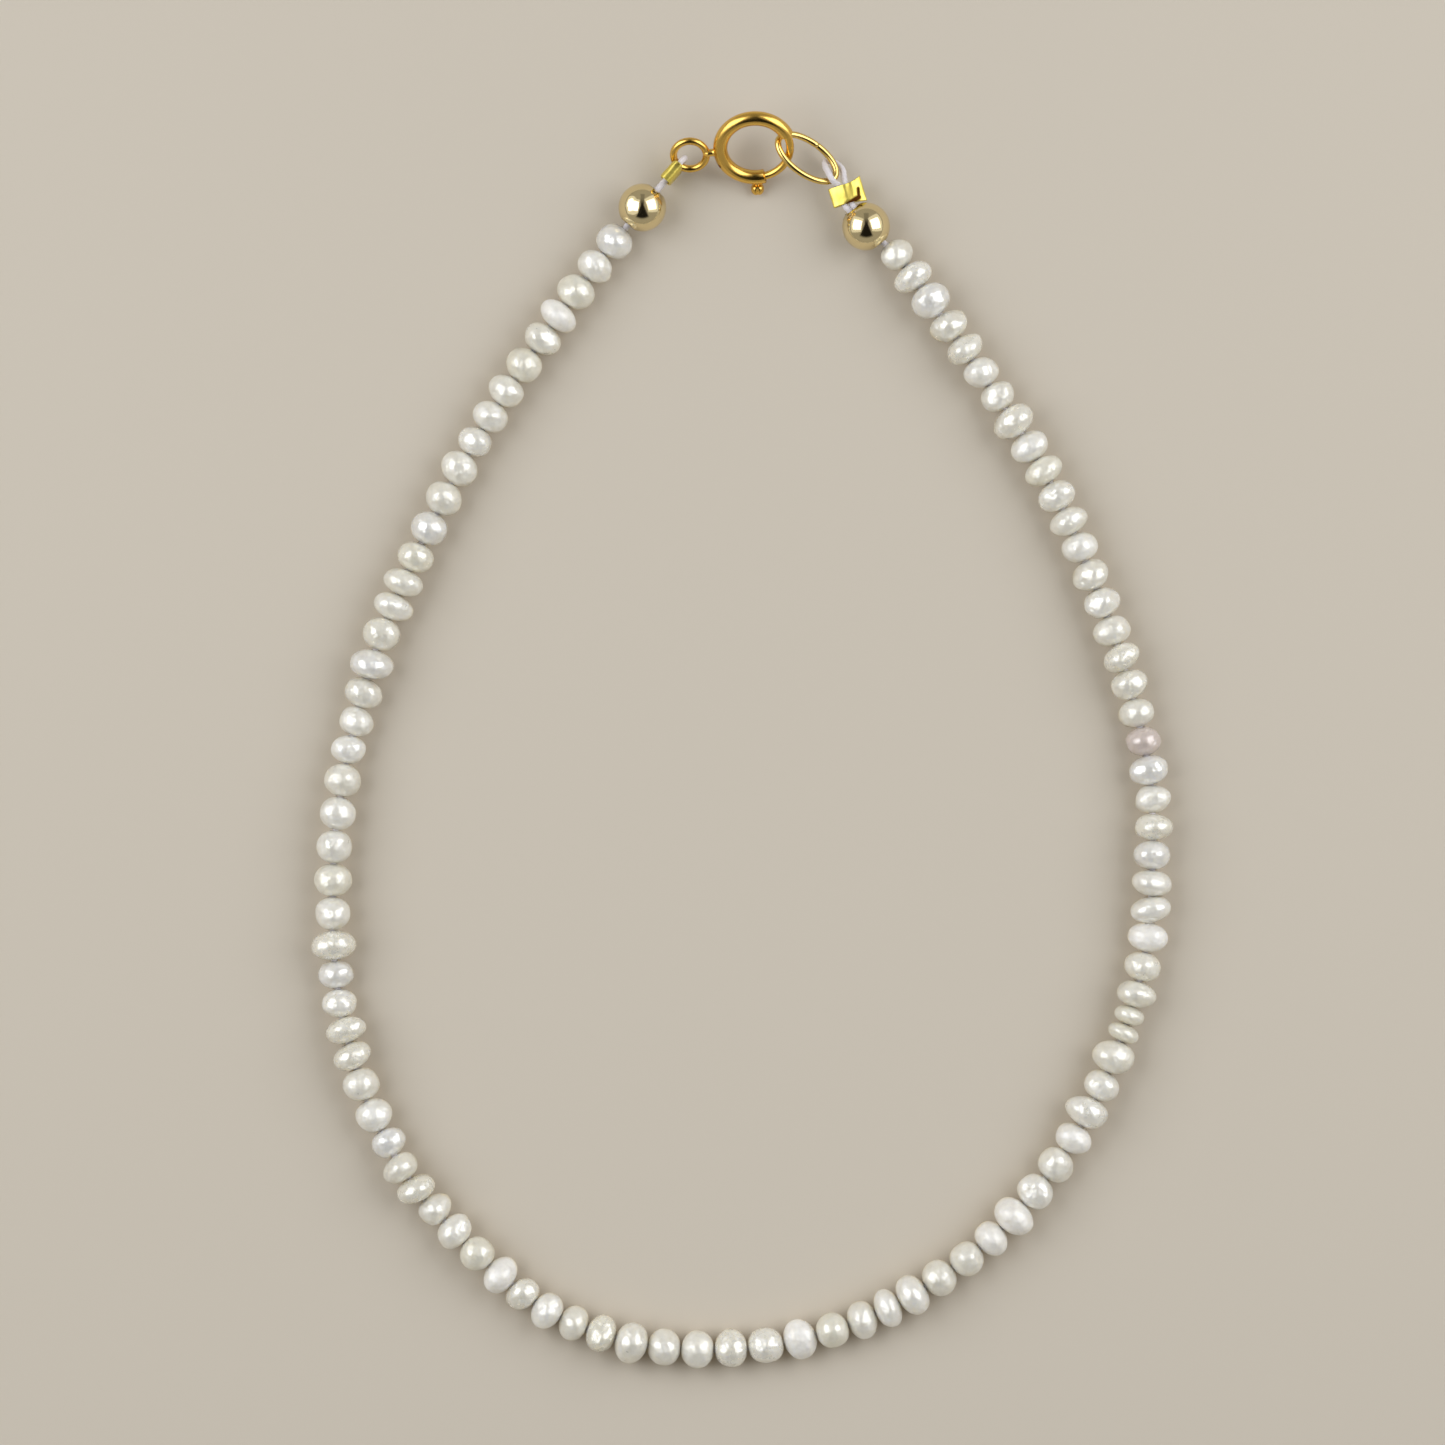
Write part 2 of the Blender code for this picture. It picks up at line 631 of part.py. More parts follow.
def main():
    clear_scene()
    parts = new_collection("beaded_anklet")
    cutters = new_collection("beaded_anklet_cutters")
    nacre = material("pearl nacre", (0.83, 0.79, 0.70), 0.28, 0.0)
    pale_gold = material("champagne gold", (0.80, 0.62, 0.32), 0.12, 1.0)
    lemon_gold = material("lemon gold", (0.80, 0.64, 0.18), 0.22, 1.0)
    warm_gold = material("orange gold", (0.80, 0.50, 0.12), 0.18, 1.0)
    white_thread = material("white thread", (0.80, 0.77, 0.72), 0.65, 0.0)

    pearl_string(parts, nacre)
    for side, loop in (("left", LEFT_LOOP), ("right", RIGHT_LOOP)):
        ball_bead(side, parts, pale_gold.copy())
        crimp_tube(side, parts, lemon_gold.copy())
        thread_loop(side, loop, parts, white_thread.copy())
    jump_ring(parts, warm_gold.copy())

    plane = bpy.data.objects.new("clasp_axis", None)
    parts.objects.link(plane)
    plane.matrix_world = clasp_matrix()
    clasp_ring(plane, parts, cutters, warm_gold.copy())
    clasp_trigger(plane, parts, cutters, warm_gold.copy())


main()
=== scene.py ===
import math

import bpy
import numpy as np
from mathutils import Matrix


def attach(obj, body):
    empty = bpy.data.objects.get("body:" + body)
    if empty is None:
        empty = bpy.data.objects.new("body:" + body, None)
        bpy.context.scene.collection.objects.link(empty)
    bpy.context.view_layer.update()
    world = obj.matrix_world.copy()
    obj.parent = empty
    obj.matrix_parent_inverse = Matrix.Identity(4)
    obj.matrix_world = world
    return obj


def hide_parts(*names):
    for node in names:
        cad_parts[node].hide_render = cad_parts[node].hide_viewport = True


# Looks of a beaded anklet of small off-round white pearls that lies closed on a flat surface.
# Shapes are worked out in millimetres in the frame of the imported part: +Z up, +Y to the clasp.

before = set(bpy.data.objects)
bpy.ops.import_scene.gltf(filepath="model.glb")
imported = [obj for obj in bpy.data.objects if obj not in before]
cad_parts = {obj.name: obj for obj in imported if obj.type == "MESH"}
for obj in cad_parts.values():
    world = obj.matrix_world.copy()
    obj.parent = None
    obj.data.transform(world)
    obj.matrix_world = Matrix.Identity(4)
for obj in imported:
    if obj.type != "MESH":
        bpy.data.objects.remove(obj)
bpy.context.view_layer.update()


# The pearls
# Off-round freshwater pearls about 3 mm across, drilled through and strung so that their ends
# touch. Nacre laid down in thin layers gives each its own form, tint and lustre.

ROW = (
    "rorboroosr"
    "rrobbrwoss"
    "rrrrrwssbb"
    "rrsbbsoros"
    "osolrrrgrr"
    "obwrrolrro"
    "wolttboobb"
    "obsossoboo"
    "oobobowsob"
    "olbs"
)
KIND_SIZES = {
    "o": (1.00, 1.00),  # usual potato shape: share of the usual length, then of the width
    "r": (1.12, 1.00),  # nearly round
    "g": (1.22, 0.98),  # long
    "l": (1.10, 1.12),  # large
    "b": (0.88, 1.08),  # button
    "w": (1.00, 1.17),  # wide button
    "s": (0.97, 0.92),  # small
    "t": (0.62, 0.92),  # thin disc
}
MM = 0.001  # a millimetre in the scene's metres
PEARL_WIDTH = 3.1
DRILL_RADIUS = 0.30
BALL_RADIUS = 2.0
BALL_GAP = 0.25
BALL_LEFT = np.array([-8.501, 44.409, 2.0])
BALL_RIGHT = np.array([10.12, 42.83, 2.0])
ROUTE = [
    (-10.5, 42.1), (-15.1, 36.0), (-19.3, 29.9), (-23.4, 23.3), (-27.0, 16.2), (-30.2, 9.0),
    (-32.3, 2.0), (-33.8, -5.3), (-34.3, -12.6), (-34.0, -20.0), (-32.6, -26.5), (-30.6, -31.8),
    (-27.2, -37.5), (-22.5, -42.4), (-17.2, -47.0), (-10.6, -49.8), (-3.8, -50.7), (4.0, -50.0),
    (11.0, -47.7), (17.0, -44.2), (21.8, -40.2), (26.2, -34.9), (29.6, -29.0), (32.1, -22.8),
    (33.6, -16.5), (34.0, -9.5), (33.8, -3.0), (32.5, 3.0), (30.7, 9.0), (27.9, 16.2),
    (25.2, 22.0), (21.6, 27.9), (17.2, 34.2), (13.0, 40.1),
]

# Pearls that stand out, counted from the left ball
GLOSSY = (1, 12, 17, 27, 33, 71, 74, 92)
MATT = (4, 39, 49, 56, 57, 60, 68)
WRINKLED = (2, 36, 37, 58, 68, 80, 81, 91)
PINK = (75,)
CREAM = (3, 6, 13, 24, 38, 43, 50, 64, 65, 85)
TILTED = {69: 24.0, 78: 14.0, 40: -9.0, 48: 7.0}


def through(points, per_span):
    """A smooth line through the points: on each span a cubic whose slope at either end is half
    the step between the points on both sides of that end."""
    points = np.asarray(points, float)
    padded = np.vstack([2 * points[0] - points[1], points, 2 * points[-1] - points[-2]])
    before, start, end, after = padded[:-3], padded[1:-2], padded[2:-1], padded[3:]
    share = np.arange(per_span)[None, :, None] / per_span
    leave = ((end - before) / 2)[:, None]
    arrive = ((after - start) / 2)[:, None]
    step = (end - start)[:, None]
    line = start[:, None] + share * leave + share**2 * (3 * step - 2 * leave - arrive)
    line = line + share**3 * (leave + arrive - 2 * step)
    return np.vstack([line.reshape(-1, points.shape[1]), points[-1:]])


def closed_grid(points):
    """Corners and quads of one or more grids that close on themselves along and round."""
    rows, columns = points.shape[-3:-1]
    index = np.arange(points.size // 3).reshape(-1, rows, columns)
    ahead = np.roll(index, -1, axis=1)
    diagonal, beside = np.roll(ahead, -1, axis=2), np.roll(index, -1, axis=2)
    quads = np.stack([index, ahead, diagonal, beside], axis=-1)
    return points.reshape(-1, 3), quads.reshape(-1, 4)


def smooth_piece(name, points, faces, finish):
    """A smooth-shaded object of corners in millimetres. Its faces are turned round if the volume
    that they enclose, summed over pyramids to the origin, is negative."""
    faces = np.asarray(faces)
    corners = points[faces]
    pyramids = np.cross(corners[:, 1] - corners[:, 0], corners[:, 2] - corners[:, 0])
    if (pyramids * corners[:, 0]).sum() < 0:
        faces = faces[:, ::-1]
    mesh = bpy.data.meshes.new(name)
    mesh.from_pydata((points * MM).tolist(), [], faces.tolist())
    mesh.shade_smooth()
    mesh.materials.append(finish)
    piece = bpy.data.objects.new(name, mesh)
    bpy.context.scene.collection.objects.link(piece)
    return piece


def linear(code):
    """Linear RGBA of an sRGB hex code: each channel c becomes c/12.92 if dark, else
    ((c + 0.055)/1.055)^2.4."""
    channels = [int(code[i : i + 2], 16) / 255 for i in (1, 3, 5)]
    light = [c / 12.92 if c <= 0.04045 else ((c + 0.055) / 1.055) ** 2.4 for c in channels]
    return (*light, 1.0)


def add_node(tree, kind, inputs=None, **settings):
    """Adds a node with its settings; an input that is given an output socket is linked to it."""
    node = tree.nodes.new(kind)
    for key, value in settings.items():
        setattr(node, key, value)
    for key, value in (inputs or {}).items():
        if isinstance(value, bpy.types.NodeSocket):
            tree.links.new(value, node.inputs[key])
        else:
            node.inputs[key].default_value = value
    return node


def every(spacing):
    """The scale of a noise whose grains lie so many millimetres apart: grains to the metre."""
    return 1000 / spacing


def empty_material(name):
    """A material with an empty node tree."""
    made = bpy.data.materials.new(name)
    made.use_nodes = True
    made.node_tree.nodes.clear()
    return made, made.node_tree


# Nacre is thin plates of aragonite: a soft milky body that lets some light through, under a
# clearer coat whose shine is a little blurred. Growth marks make its shade and dullness drift,
# and slow swells and a fine skin break up its bright spots.
MARK_SPACING, SKIN_SPACING, SWELL_SPACING = 0.9, 0.35, 1.3
nacre, tree = empty_material("freshwater nacre")
place = add_node(tree, "ShaderNodeTexCoord").outputs["Object"]
# The tint attribute holds each pearl's own tone together with painted bounce light, creamier
# towards its lower half.
tint_and_bounce = add_node(tree, "ShaderNodeAttribute", attribute_name="tint_and_bounce").outputs["Color"]
matt = add_node(tree, "ShaderNodeAttribute", attribute_name="matt").outputs["Fac"]
marks = add_node(
    tree,
    "ShaderNodeTexNoise",
    {"Vector": place, "Scale": every(MARK_SPACING), "Detail": 4.0, "Roughness": 0.6},
).outputs["Fac"]
skin = add_node(
    tree,
    "ShaderNodeTexNoise",
    {"Vector": place, "Scale": every(SKIN_SPACING), "Detail": 3.0, "Roughness": 0.55},
).outputs["Fac"]
shade = add_node(
    tree, "ShaderNodeMapRange", {"Value": marks, 1: 0.32, 2: 0.68, 3: 0.86, 4: 1.01}
).outputs[0]
grey = add_node(tree, "ShaderNodeCombineXYZ", {0: shade, 1: shade, 2: shade}).outputs[0]
body = add_node(tree, "ShaderNodeVectorMath", {0: tint_and_bounce, 1: grey}, operation="MULTIPLY").outputs[0]
dull = add_node(tree, "ShaderNodeMapRange", {"Value": matt, 3: 0.13, 4: 0.50}).outputs[0]
rough = add_node(
    tree, "ShaderNodeMath", {0: marks, 1: 0.16, 2: dull}, operation="MULTIPLY_ADD"
).outputs[0]
lift = add_node(tree, "ShaderNodeMapRange", {"Value": matt, 3: 0.25, 4: 0.55}).outputs[0]
swell = add_node(
    tree, "ShaderNodeTexNoise", {"Vector": place, "Scale": every(SWELL_SPACING), "Detail": 2.0}
).outputs["Fac"]
swollen = add_node(
    tree, "ShaderNodeBump", {"Strength": 0.8, "Distance": 0.42 * MM, "Height": swell}
).outputs[0]
relief = add_node(
    tree,
    "ShaderNodeBump",
    {"Strength": lift, "Distance": 0.03 * MM, "Height": skin, "Normal": swollen},
).outputs[0]
surface = add_node(
    tree,
    "ShaderNodeBsdfPrincipled",
    {
        "Base Color": body,
        "Roughness": rough,
        "Normal": relief,
        "Metallic": 0.22,
        "IOR": 1.66,
        "Specular IOR Level": 0.9,
        "Subsurface Weight": 0.8,
        "Subsurface Radius": (1.0, 0.94, 0.78),
        "Subsurface Scale": 1.6 * MM,
        "Coat Weight": 0.5,
        "Coat Roughness": 0.12,
        "Coat IOR": 1.6,
    },
)
add_node(tree, "ShaderNodeOutputMaterial", {"Surface": surface.outputs[0]})

# Places along the row, as the route and the chart give them
line = through([BALL_LEFT[:2], *ROUTE, BALL_RIGHT[:2]], per_span=12)
run = np.concatenate([[0.0], np.cumsum(np.hypot(*np.diff(line, axis=0).T))])
long_share, wide_share = np.array([KIND_SIZES[kind] for kind in ROW]).T
count = len(ROW)
first = BALL_RADIUS + BALL_GAP
lengths = long_share * (run[-1] - 2 * first) / long_share.sum()
widths = wide_share * PEARL_WIDTH
middles = first + np.cumsum(lengths) - lengths / 2
pearl_x, pearl_y = (np.interp(middles, run, line[:, axis]) for axis in (0, 1))
step_x, step_y = (
    np.interp(middles + lengths / 2, run, line[:, axis])
    - np.interp(middles - lengths / 2, run, line[:, axis])
    for axis in (0, 1)
)
headings = np.arctan2(step_y, step_x)


def marked(numbers):
    """One for each pearl of the list and zero for the others."""
    return np.isin(np.arange(1, count + 1), numbers).astype(float)


AROUND, OUTER_ROWS, DRILL_ROWS = 48, 28, 5
END_ROUNDNESS = 0.92  # under 1, the ends are fuller than an ellipse's
HOLE_SHARE = 0.92  # the hole's half width inside, as a share of that at its mouths
FLATNESS_SPREAD = 0.018  # as a share of the width
YAW_SPREAD, NOD_SPREAD = 5.0, 2.5  # degrees
WAVE_LIMIT = 1.7  # the most that a wave grows over its usual size

# The waves of a pearl's form: how often round it and how often along it, the usual size as a share
# of the half width, and how many times that size a wrinkled pearl has on top of it
PEARL_WAVES = np.array([
    (1, 1, 0.060, 0.3), (1, 2, 0.034, 0.3), (2, 0, 0.044, 0.3), (2, 1, 0.038, 0.3),
    (3, 1, 0.026, 0.5), (3, 2, 0.020, 1.0), (4, 3, 0.012, 1.5), (5, 4, 0.006, 2.5),
    (7, 5, 0.003, 4.0), (8, 7, 0.002, 4.0), (9, 6, 0.002, 4.0), (6, 9, 0.002, 3.0),
])
rng = np.random.default_rng(94)


def pearl_surfaces():
    """Every pearl as a grid that closes both ways: outside from one drill mouth to the other,
    then back through the drill hole. At a station v from 0 to pi the half width is W/2 sin(v) and
    the distance along is -L/2 cos(v)^0.92, with its sign. The half width is then scaled by 1 plus
    a sum of waves, cos(m u + a) cos(n v + b), that fade with sin(v) towards the mouths."""
    u = np.arange(AROUND) * 2 * math.pi / AROUND
    mouth = np.arcsin(2 * DRILL_RADIUS / widths)[:, None]
    v = mouth + (math.pi - 2 * mouth) * np.linspace(0, 1, OUTER_ROWS)
    across = widths[:, None] / 2 * np.sin(v)
    along = -lengths[:, None] / 2 * np.sign(np.cos(v)) * np.abs(np.cos(v)) ** END_ROUNDNESS

    waves_round, waves_along, usual_size, wrinkled_more = PEARL_WAVES.T
    size = usual_size * (1 + marked(WRINKLED)[:, None] * wrinkled_more)
    size = size * rng.normal(0.0, 1.0, (count, len(PEARL_WAVES))).clip(-WAVE_LIMIT, WAVE_LIMIT)
    start_u, start_v = rng.uniform(0, 2 * math.pi, (2, count, len(PEARL_WAVES)))
    round_part = np.cos(waves_round[:, None] * u + start_u[..., None])
    along_part = np.cos(waves_along[:, None] * v[:, None, :] + start_v[..., None])
    bumps = np.einsum("kj,kjv,kju->kvu", size, along_part, round_part)
    factor = 1 + bumps * np.sin(v)[..., None]

    drill = np.linspace(1, -1, DRILL_ROWS + 2)[1:-1] * along[:, -1:]
    across = np.hstack([across, np.full(drill.shape, HOLE_SHARE * DRILL_RADIUS)])
    along = np.hstack([along, drill])
    factor = np.concatenate([factor, np.ones((count, DRILL_ROWS, AROUND))], axis=1)

    flat = rng.normal(0.0, FLATNESS_SPREAD, (count, 1, 1))
    side = across[..., None] * factor * np.cos(u) * (1 + flat)
    up = across[..., None] * factor * np.sin(u) * (1 - flat)
    ahead = np.broadcast_to(along[..., None], side.shape)
    tilts = [TILTED.get(number, 0.0) for number in range(1, count + 1)]
    yaw = np.radians(rng.normal(0.0, YAW_SPREAD, count) + tilts)
    nod = np.radians(rng.normal(0.0, NOD_SPREAD, count))[:, None, None]
    ahead, up = ahead * np.cos(nod) - up * np.sin(nod), ahead * np.sin(nod) + up * np.cos(nod)
    turn = (headings + yaw)[:, None, None]
    x = pearl_x[:, None, None] + ahead * np.cos(turn) - side * np.sin(turn)
    y = pearl_y[:, None, None] + ahead * np.sin(turn) + side * np.cos(turn)
    lowest = up.min(axis=(1, 2), keepdims=True)
    return np.stack([x, y, up - lowest], axis=-1), -lowest[:, 0, 0]


surfaces, hole_heights = pearl_surfaces()

tone = rng.uniform(0, 1, (count, 1))
tints = np.array(linear("#F5F2E9"))[:3] * (1 - tone) + np.array(linear("#EDE9DC"))[:3] * tone
KIND_TINTS = ((CREAM, "#EDE9DA"), (MATT, "#F8F4EC"), (GLOSSY, "#EFEDE7"), (PINK, "#D9CCC5"))
for numbers, code in KIND_TINTS:
    chosen = marked(numbers)[:, None]
    tints = tints * (1 - chosen) + np.array(linear(code))[:3] * chosen
# Painted light: each pearl's lower half is painted creamier, standing in for warm light from the
# sheet that comes through it from below; fully up to the first share of its height, and fading
# out over the second
PAINTED_BOUNCE_CREAM = np.array(linear("#FBECCB"))[:3]
PAINTED_BOUNCE_UP_TO, PAINTED_BOUNCE_FADE = 0.30, 0.40
dullness = rng.uniform(0.10, 0.45, count) * (1 - marked(GLOSSY))
dullness = dullness + (0.9 - dullness) * marked(MATT)

RUNS = (("pearls_left_run", 0, 32), ("pearls_front_run", 32, 63), ("pearls_right_run", 63, count))
for name, low, high in RUNS:
    points, quads = closed_grid(surfaces[low:high])
    pearls = smooth_piece(name, points, quads, nacre)
    corner_count = (OUTER_ROWS + DRILL_ROWS) * AROUND
    height = surfaces[low:high, ..., 2].reshape(high - low, -1)
    above = height / height.max(axis=1, keepdims=True) - PAINTED_BOUNCE_UP_TO
    share = above.clip(0, PAINTED_BOUNCE_FADE) / PAINTED_BOUNCE_FADE
    # Painted bounce light: the lower part of each pearl's colour is mixed towards cream.
    unbounced = (share**2 * (3 - 2 * share))[..., None]
    colours = np.ones((high - low, corner_count, 4))
    colours[..., :3] = tints[low:high, None] * (unbounced + (1 - unbounced) * PAINTED_BOUNCE_CREAM)
    tint_and_bounce_layer = pearls.data.attributes.new("tint_and_bounce", "FLOAT_COLOR", "POINT")
    tint_and_bounce_layer.data.foreach_set("color", colours.ravel())
    matt_layer = pearls.data.attributes.new("matt", "FLOAT", "POINT")
    matt_layer.data.foreach_set("value", np.repeat(dullness[low:high], corner_count))
    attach(pearls, "anklet")
    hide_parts("pearl_string")


# The stringing thread
# White bead cord half a millimetre thick, twisted from three plies of silk-like filament. It runs
# through all pearls and shows only where two of them part.


def swept(path, radius, reference):
    """Rings of corners round a line. At each point the ring's first axis is the reference
    direction less its share along the line, and the second is square to both. The radius may
    change along and round."""
    way = np.gradient(path, axis=0)
    way = way / np.linalg.norm(way, axis=1, keepdims=True)
    first_axis = reference - (way * reference).sum(axis=1, keepdims=True) * way
    first_axis = first_axis / np.linalg.norm(first_axis, axis=1, keepdims=True)
    second_axis = np.cross(way, first_axis)
    angle = np.arange(radius.shape[1]) * 2 * math.pi / radius.shape[1]
    out = np.cos(angle)[:, None] * first_axis[:, None]
    out = out + np.sin(angle)[:, None] * second_axis[:, None]
    return path[:, None] + radius[..., None] * out


CAP_RINGS = ((0.7, 0.5), (0.05, 0.7))  # half width and distance beyond, as shares of the radius


def cap(ring, beside):
    """The two rings that round off an end, which points away from the ring beside it."""
    middle = ring.mean(axis=0)
    out = middle - beside.mean(axis=0)
    out = out / np.linalg.norm(out) * np.linalg.norm(ring[0] - middle)
    return [middle + (ring - middle) * share + out * rise for share, rise in CAP_RINGS]


def capped(rings):
    """Corners and quads of open-ended rings with a rounded cap at each end. The cap's last ring
    is closed by a fold along its middle."""
    start, end = cap(rings[0], rings[1]), cap(rings[-1], rings[-2])
    rings = np.concatenate([[start[1], start[0]], rings, end])
    rows, columns = rings.shape[:2]
    index = np.arange(rows * columns).reshape(rows, columns)
    near, far = index[:-1], index[1:]
    quads = np.stack([near, far, np.roll(far, -1, axis=1), np.roll(near, -1, axis=1)], axis=-1)
    half = columns // 2
    fold = np.arange(half - 1)
    first_fold = np.stack([fold, fold + 1, columns - 2 - fold, columns - 1 - fold], axis=-1)
    last_fold = first_fold[:, ::-1] + (rows - 1) * columns
    return rings.reshape(-1, 3), np.vstack([quads.reshape(-1, 4), first_fold, last_fold])


# Twisted filament yarn is white and matt, with a soft sheen along the plies.
FIBRE_SPACING = 0.12
cord_white, tree = empty_material("twisted bead cord")
place = add_node(tree, "ShaderNodeTexCoord").outputs["Object"]
fibres = add_node(
    tree, "ShaderNodeTexNoise", {"Vector": place, "Scale": every(FIBRE_SPACING), "Detail": 3.0}
).outputs["Fac"]
shade = add_node(
    tree, "ShaderNodeMix", {0: fibres, 6: linear("#D6D0D2"), 7: linear("#ECE7EA")}, data_type="RGBA"
).outputs[2]
relief = add_node(
    tree, "ShaderNodeBump", {"Strength": 0.35, "Distance": 0.02 * MM, "Height": fibres}
).outputs[0]
surface = add_node(
    tree,
    "ShaderNodeBsdfPrincipled",
    {
        "Base Color": shade,
        "Roughness": 0.7,
        "Normal": relief,
        "Sheen Weight": 0.25,
        "Sheen Roughness": 0.4,
    },
)
add_node(tree, "ShaderNodeOutputMaterial", {"Surface": surface.outputs[0]})

THREAD_RADIUS = 0.25
PLIES, PLY_SWELL = 3, 0.08


def plied(path, pitch=1.1, columns=12):
    """The radius along and round a cord of plies: it swells by a share of itself once for each
    ply round, and the swells turn once in each pitch of length."""
    length = np.concatenate([[0.0], np.cumsum(np.linalg.norm(np.diff(path, axis=0), axis=1))])
    angle = np.arange(columns) * 2 * math.pi / columns
    turned = angle + 2 * math.pi * length[:, None] / pitch
    return THREAD_RADIUS * (1 + PLY_SWELL * np.cos(PLIES * turned))


strung = np.column_stack([pearl_x, pearl_y, hole_heights])
END_SHARE = 0.25  # the string ends inside each ball, this far from its centre to the next pearl's
inner_left = BALL_LEFT + (strung[0] - BALL_LEFT) * END_SHARE
inner_right = BALL_RIGHT + (strung[-1] - BALL_RIGHT) * END_SHARE
strand = through([inner_left, *strung, inner_right], per_span=6)
points, quads = capped(swept(strand, plied(strand), np.array([0.0, 0.0, 1.0])))
string = smooth_piece("stringing_thread", points, quads, cord_white)
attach(string, "anklet")
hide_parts("pearl_string")


# The ball beads
# Hollow 4 mm balls pressed from thin brass sheet, plated a pale champagne gold and polished, with
# rolled lips at both holes. The left one was nipped by pliers and is dented on its upper side.

BORE_RADIUS = 0.75
BALL_WALL = 0.25
LIP_TURN, LIP_INSET = 0.03, 0.04  # radians by which a hole's lip turns in, and how far it stands in
DRIFT_SPACING = 1.6
BORE_LEFT = np.array([0.6482, 0.7574, 0.0787])
BORE_RIGHT = np.array([-0.6202, 0.7756, 0.1172])


def polished_gold(name, code, roughness, grain_mm, scratches):
    """Gold plate: the metal's own colour, deeper in places, roughness that drifts over a few
    millimetres, fine rubbing marks at the given grain, and painted brown shade, duller too, where
    the crease shade attribute says."""
    made, tree = empty_material(name)
    place = add_node(tree, "ShaderNodeTexCoord").outputs["Object"]
    drift = add_node(
        tree, "ShaderNodeTexNoise", {"Vector": place, "Scale": every(DRIFT_SPACING), "Detail": 3.0}
    ).outputs["Fac"]
    grain = add_node(
        tree, "ShaderNodeTexNoise", {"Vector": place, "Scale": every(grain_mm), "Detail": 4.0}
    ).outputs["Fac"]
    deep = tuple(0.84 * channel for channel in linear(code)[:3]) + (1.0,)
    clean = add_node(
        tree, "ShaderNodeMix", {0: drift, 6: linear(code), 7: deep}, data_type="RGBA"
    ).outputs[2]
    # Painted shade: a brown, darker colour in the crimp's creases, where the folds lie in shadow.
    painted_crease_shade = add_node(tree, "ShaderNodeAttribute", attribute_name="painted_crease_shade").outputs["Fac"]
    colour = add_node(
        tree, "ShaderNodeMix", {0: painted_crease_shade, 6: clean, 7: linear("#5A3210")}, data_type="RGBA"
    ).outputs[2]
    rough = add_node(
        tree,
        "ShaderNodeMapRange",
        {"Value": drift, 1: 0.3, 2: 0.7, 3: 0.7 * roughness, 4: 1.4 * roughness},
    ).outputs[0]
    rough = add_node(
        tree, "ShaderNodeMath", {0: painted_crease_shade, 1: 0.25, 2: rough}, operation="MULTIPLY_ADD"
    ).outputs[0]
    relief = add_node(
        tree, "ShaderNodeBump", {"Strength": scratches, "Distance": 0.02 * MM, "Height": grain}
    ).outputs[0]
    surface = add_node(
        tree,
        "ShaderNodeBsdfPrincipled",
        {"Base Color": colour, "Metallic": 1.0, "Roughness": rough, "Normal": relief},
    )
    add_node(tree, "ShaderNodeOutputMaterial", {"Surface": surface.outputs[0]})
    return made


# Champagne gold plate on a pressed and tumbled ball: a mirror with hardly any grain.
champagne = polished_gold("champagne gold plate", "#F2DFAE", 0.09, 0.4, 0.05)


def ball_shell(centre, bore):
    """A hollow ball drilled along an axis, as a turned profile that closes on itself: the outside
    from lip to lip, R (sin a, cos a), then the inside back, with one ring on each lip between."""
    inside = BALL_RADIUS - BALL_WALL
    outer_edge, inner_edge = math.asin(BORE_RADIUS / BALL_RADIUS), math.asin(BORE_RADIUS / inside)
    outer = np.linspace(outer_edge + LIP_TURN, math.pi - outer_edge - LIP_TURN, 56)
    back = np.linspace(math.pi - inner_edge - LIP_TURN, inner_edge + LIP_TURN, 24)
    lip = BORE_RADIUS - LIP_INSET
    lip_height = (BALL_RADIUS * math.cos(outer_edge) + inside * math.cos(inner_edge)) / 2
    half_widths = [BALL_RADIUS * np.sin(outer), [lip], inside * np.sin(back), [lip]]
    heights = [BALL_RADIUS * np.cos(outer), [-lip_height], inside * np.cos(back), [lip_height]]
    half_width, height = np.concatenate(half_widths), np.concatenate(heights)
    side = np.cross([0.0, 0.0, 1.0], bore)
    side = side / np.linalg.norm(side)
    over = np.cross(bore, side)
    angle = np.arange(96) * 2 * math.pi / 96
    out = np.cos(angle)[:, None] * side + np.sin(angle)[:, None] * over
    return centre + half_width[:, None, None] * out + height[:, None, None] * bore


def dented(points, centre, dents):
    """Pushes the ball in: by depth exp(-d^2 / 2 s^2), d being the distance from the dent's
    middle, which is given as a direction from the ball's centre."""
    out = points - centre
    reach = np.linalg.norm(out, axis=-1, keepdims=True)
    for x, y, spread, depth in dents:
        middle = np.array([x, y, math.sqrt(1 - x * x - y * y)]) * BALL_RADIUS
        apart = np.linalg.norm(out - middle, axis=-1, keepdims=True)
        points = points - out / reach * depth * np.exp(-(apart**2) / (2 * spread**2))
    return points


# x and y of the dent's middle, its spread and its depth
PLIER_DENTS = [
    (-0.42, 0.22, 0.22, 0.045),
    (-0.30, -0.02, 0.15, 0.030),
    (-0.55, 0.02, 0.18, 0.035),
    (-0.22, 0.36, 0.16, 0.020),
    (-0.38, -0.24, 0.20, 0.025),
]
for side_name, centre, bore, dents in (
    ("left", BALL_LEFT, BORE_LEFT, PLIER_DENTS),
    ("right", BALL_RIGHT, BORE_RIGHT, []),
):
    points, quads = closed_grid(dented(ball_shell(centre, bore), centre, dents))
    ball = smooth_piece(f"ball_shell_{side_name}", points, quads, champagne)
    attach(ball, "anklet")
    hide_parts(f"ball_bead_{side_name}")


# The crimps
# Short tubes of soft plated brass, squeezed flat over the doubled thread with pliers. The right
# one lies on its flat side, with a low ridge along its middle and creases where it buckled; the
# left one stands on edge, so that only its rounded side shows from above.

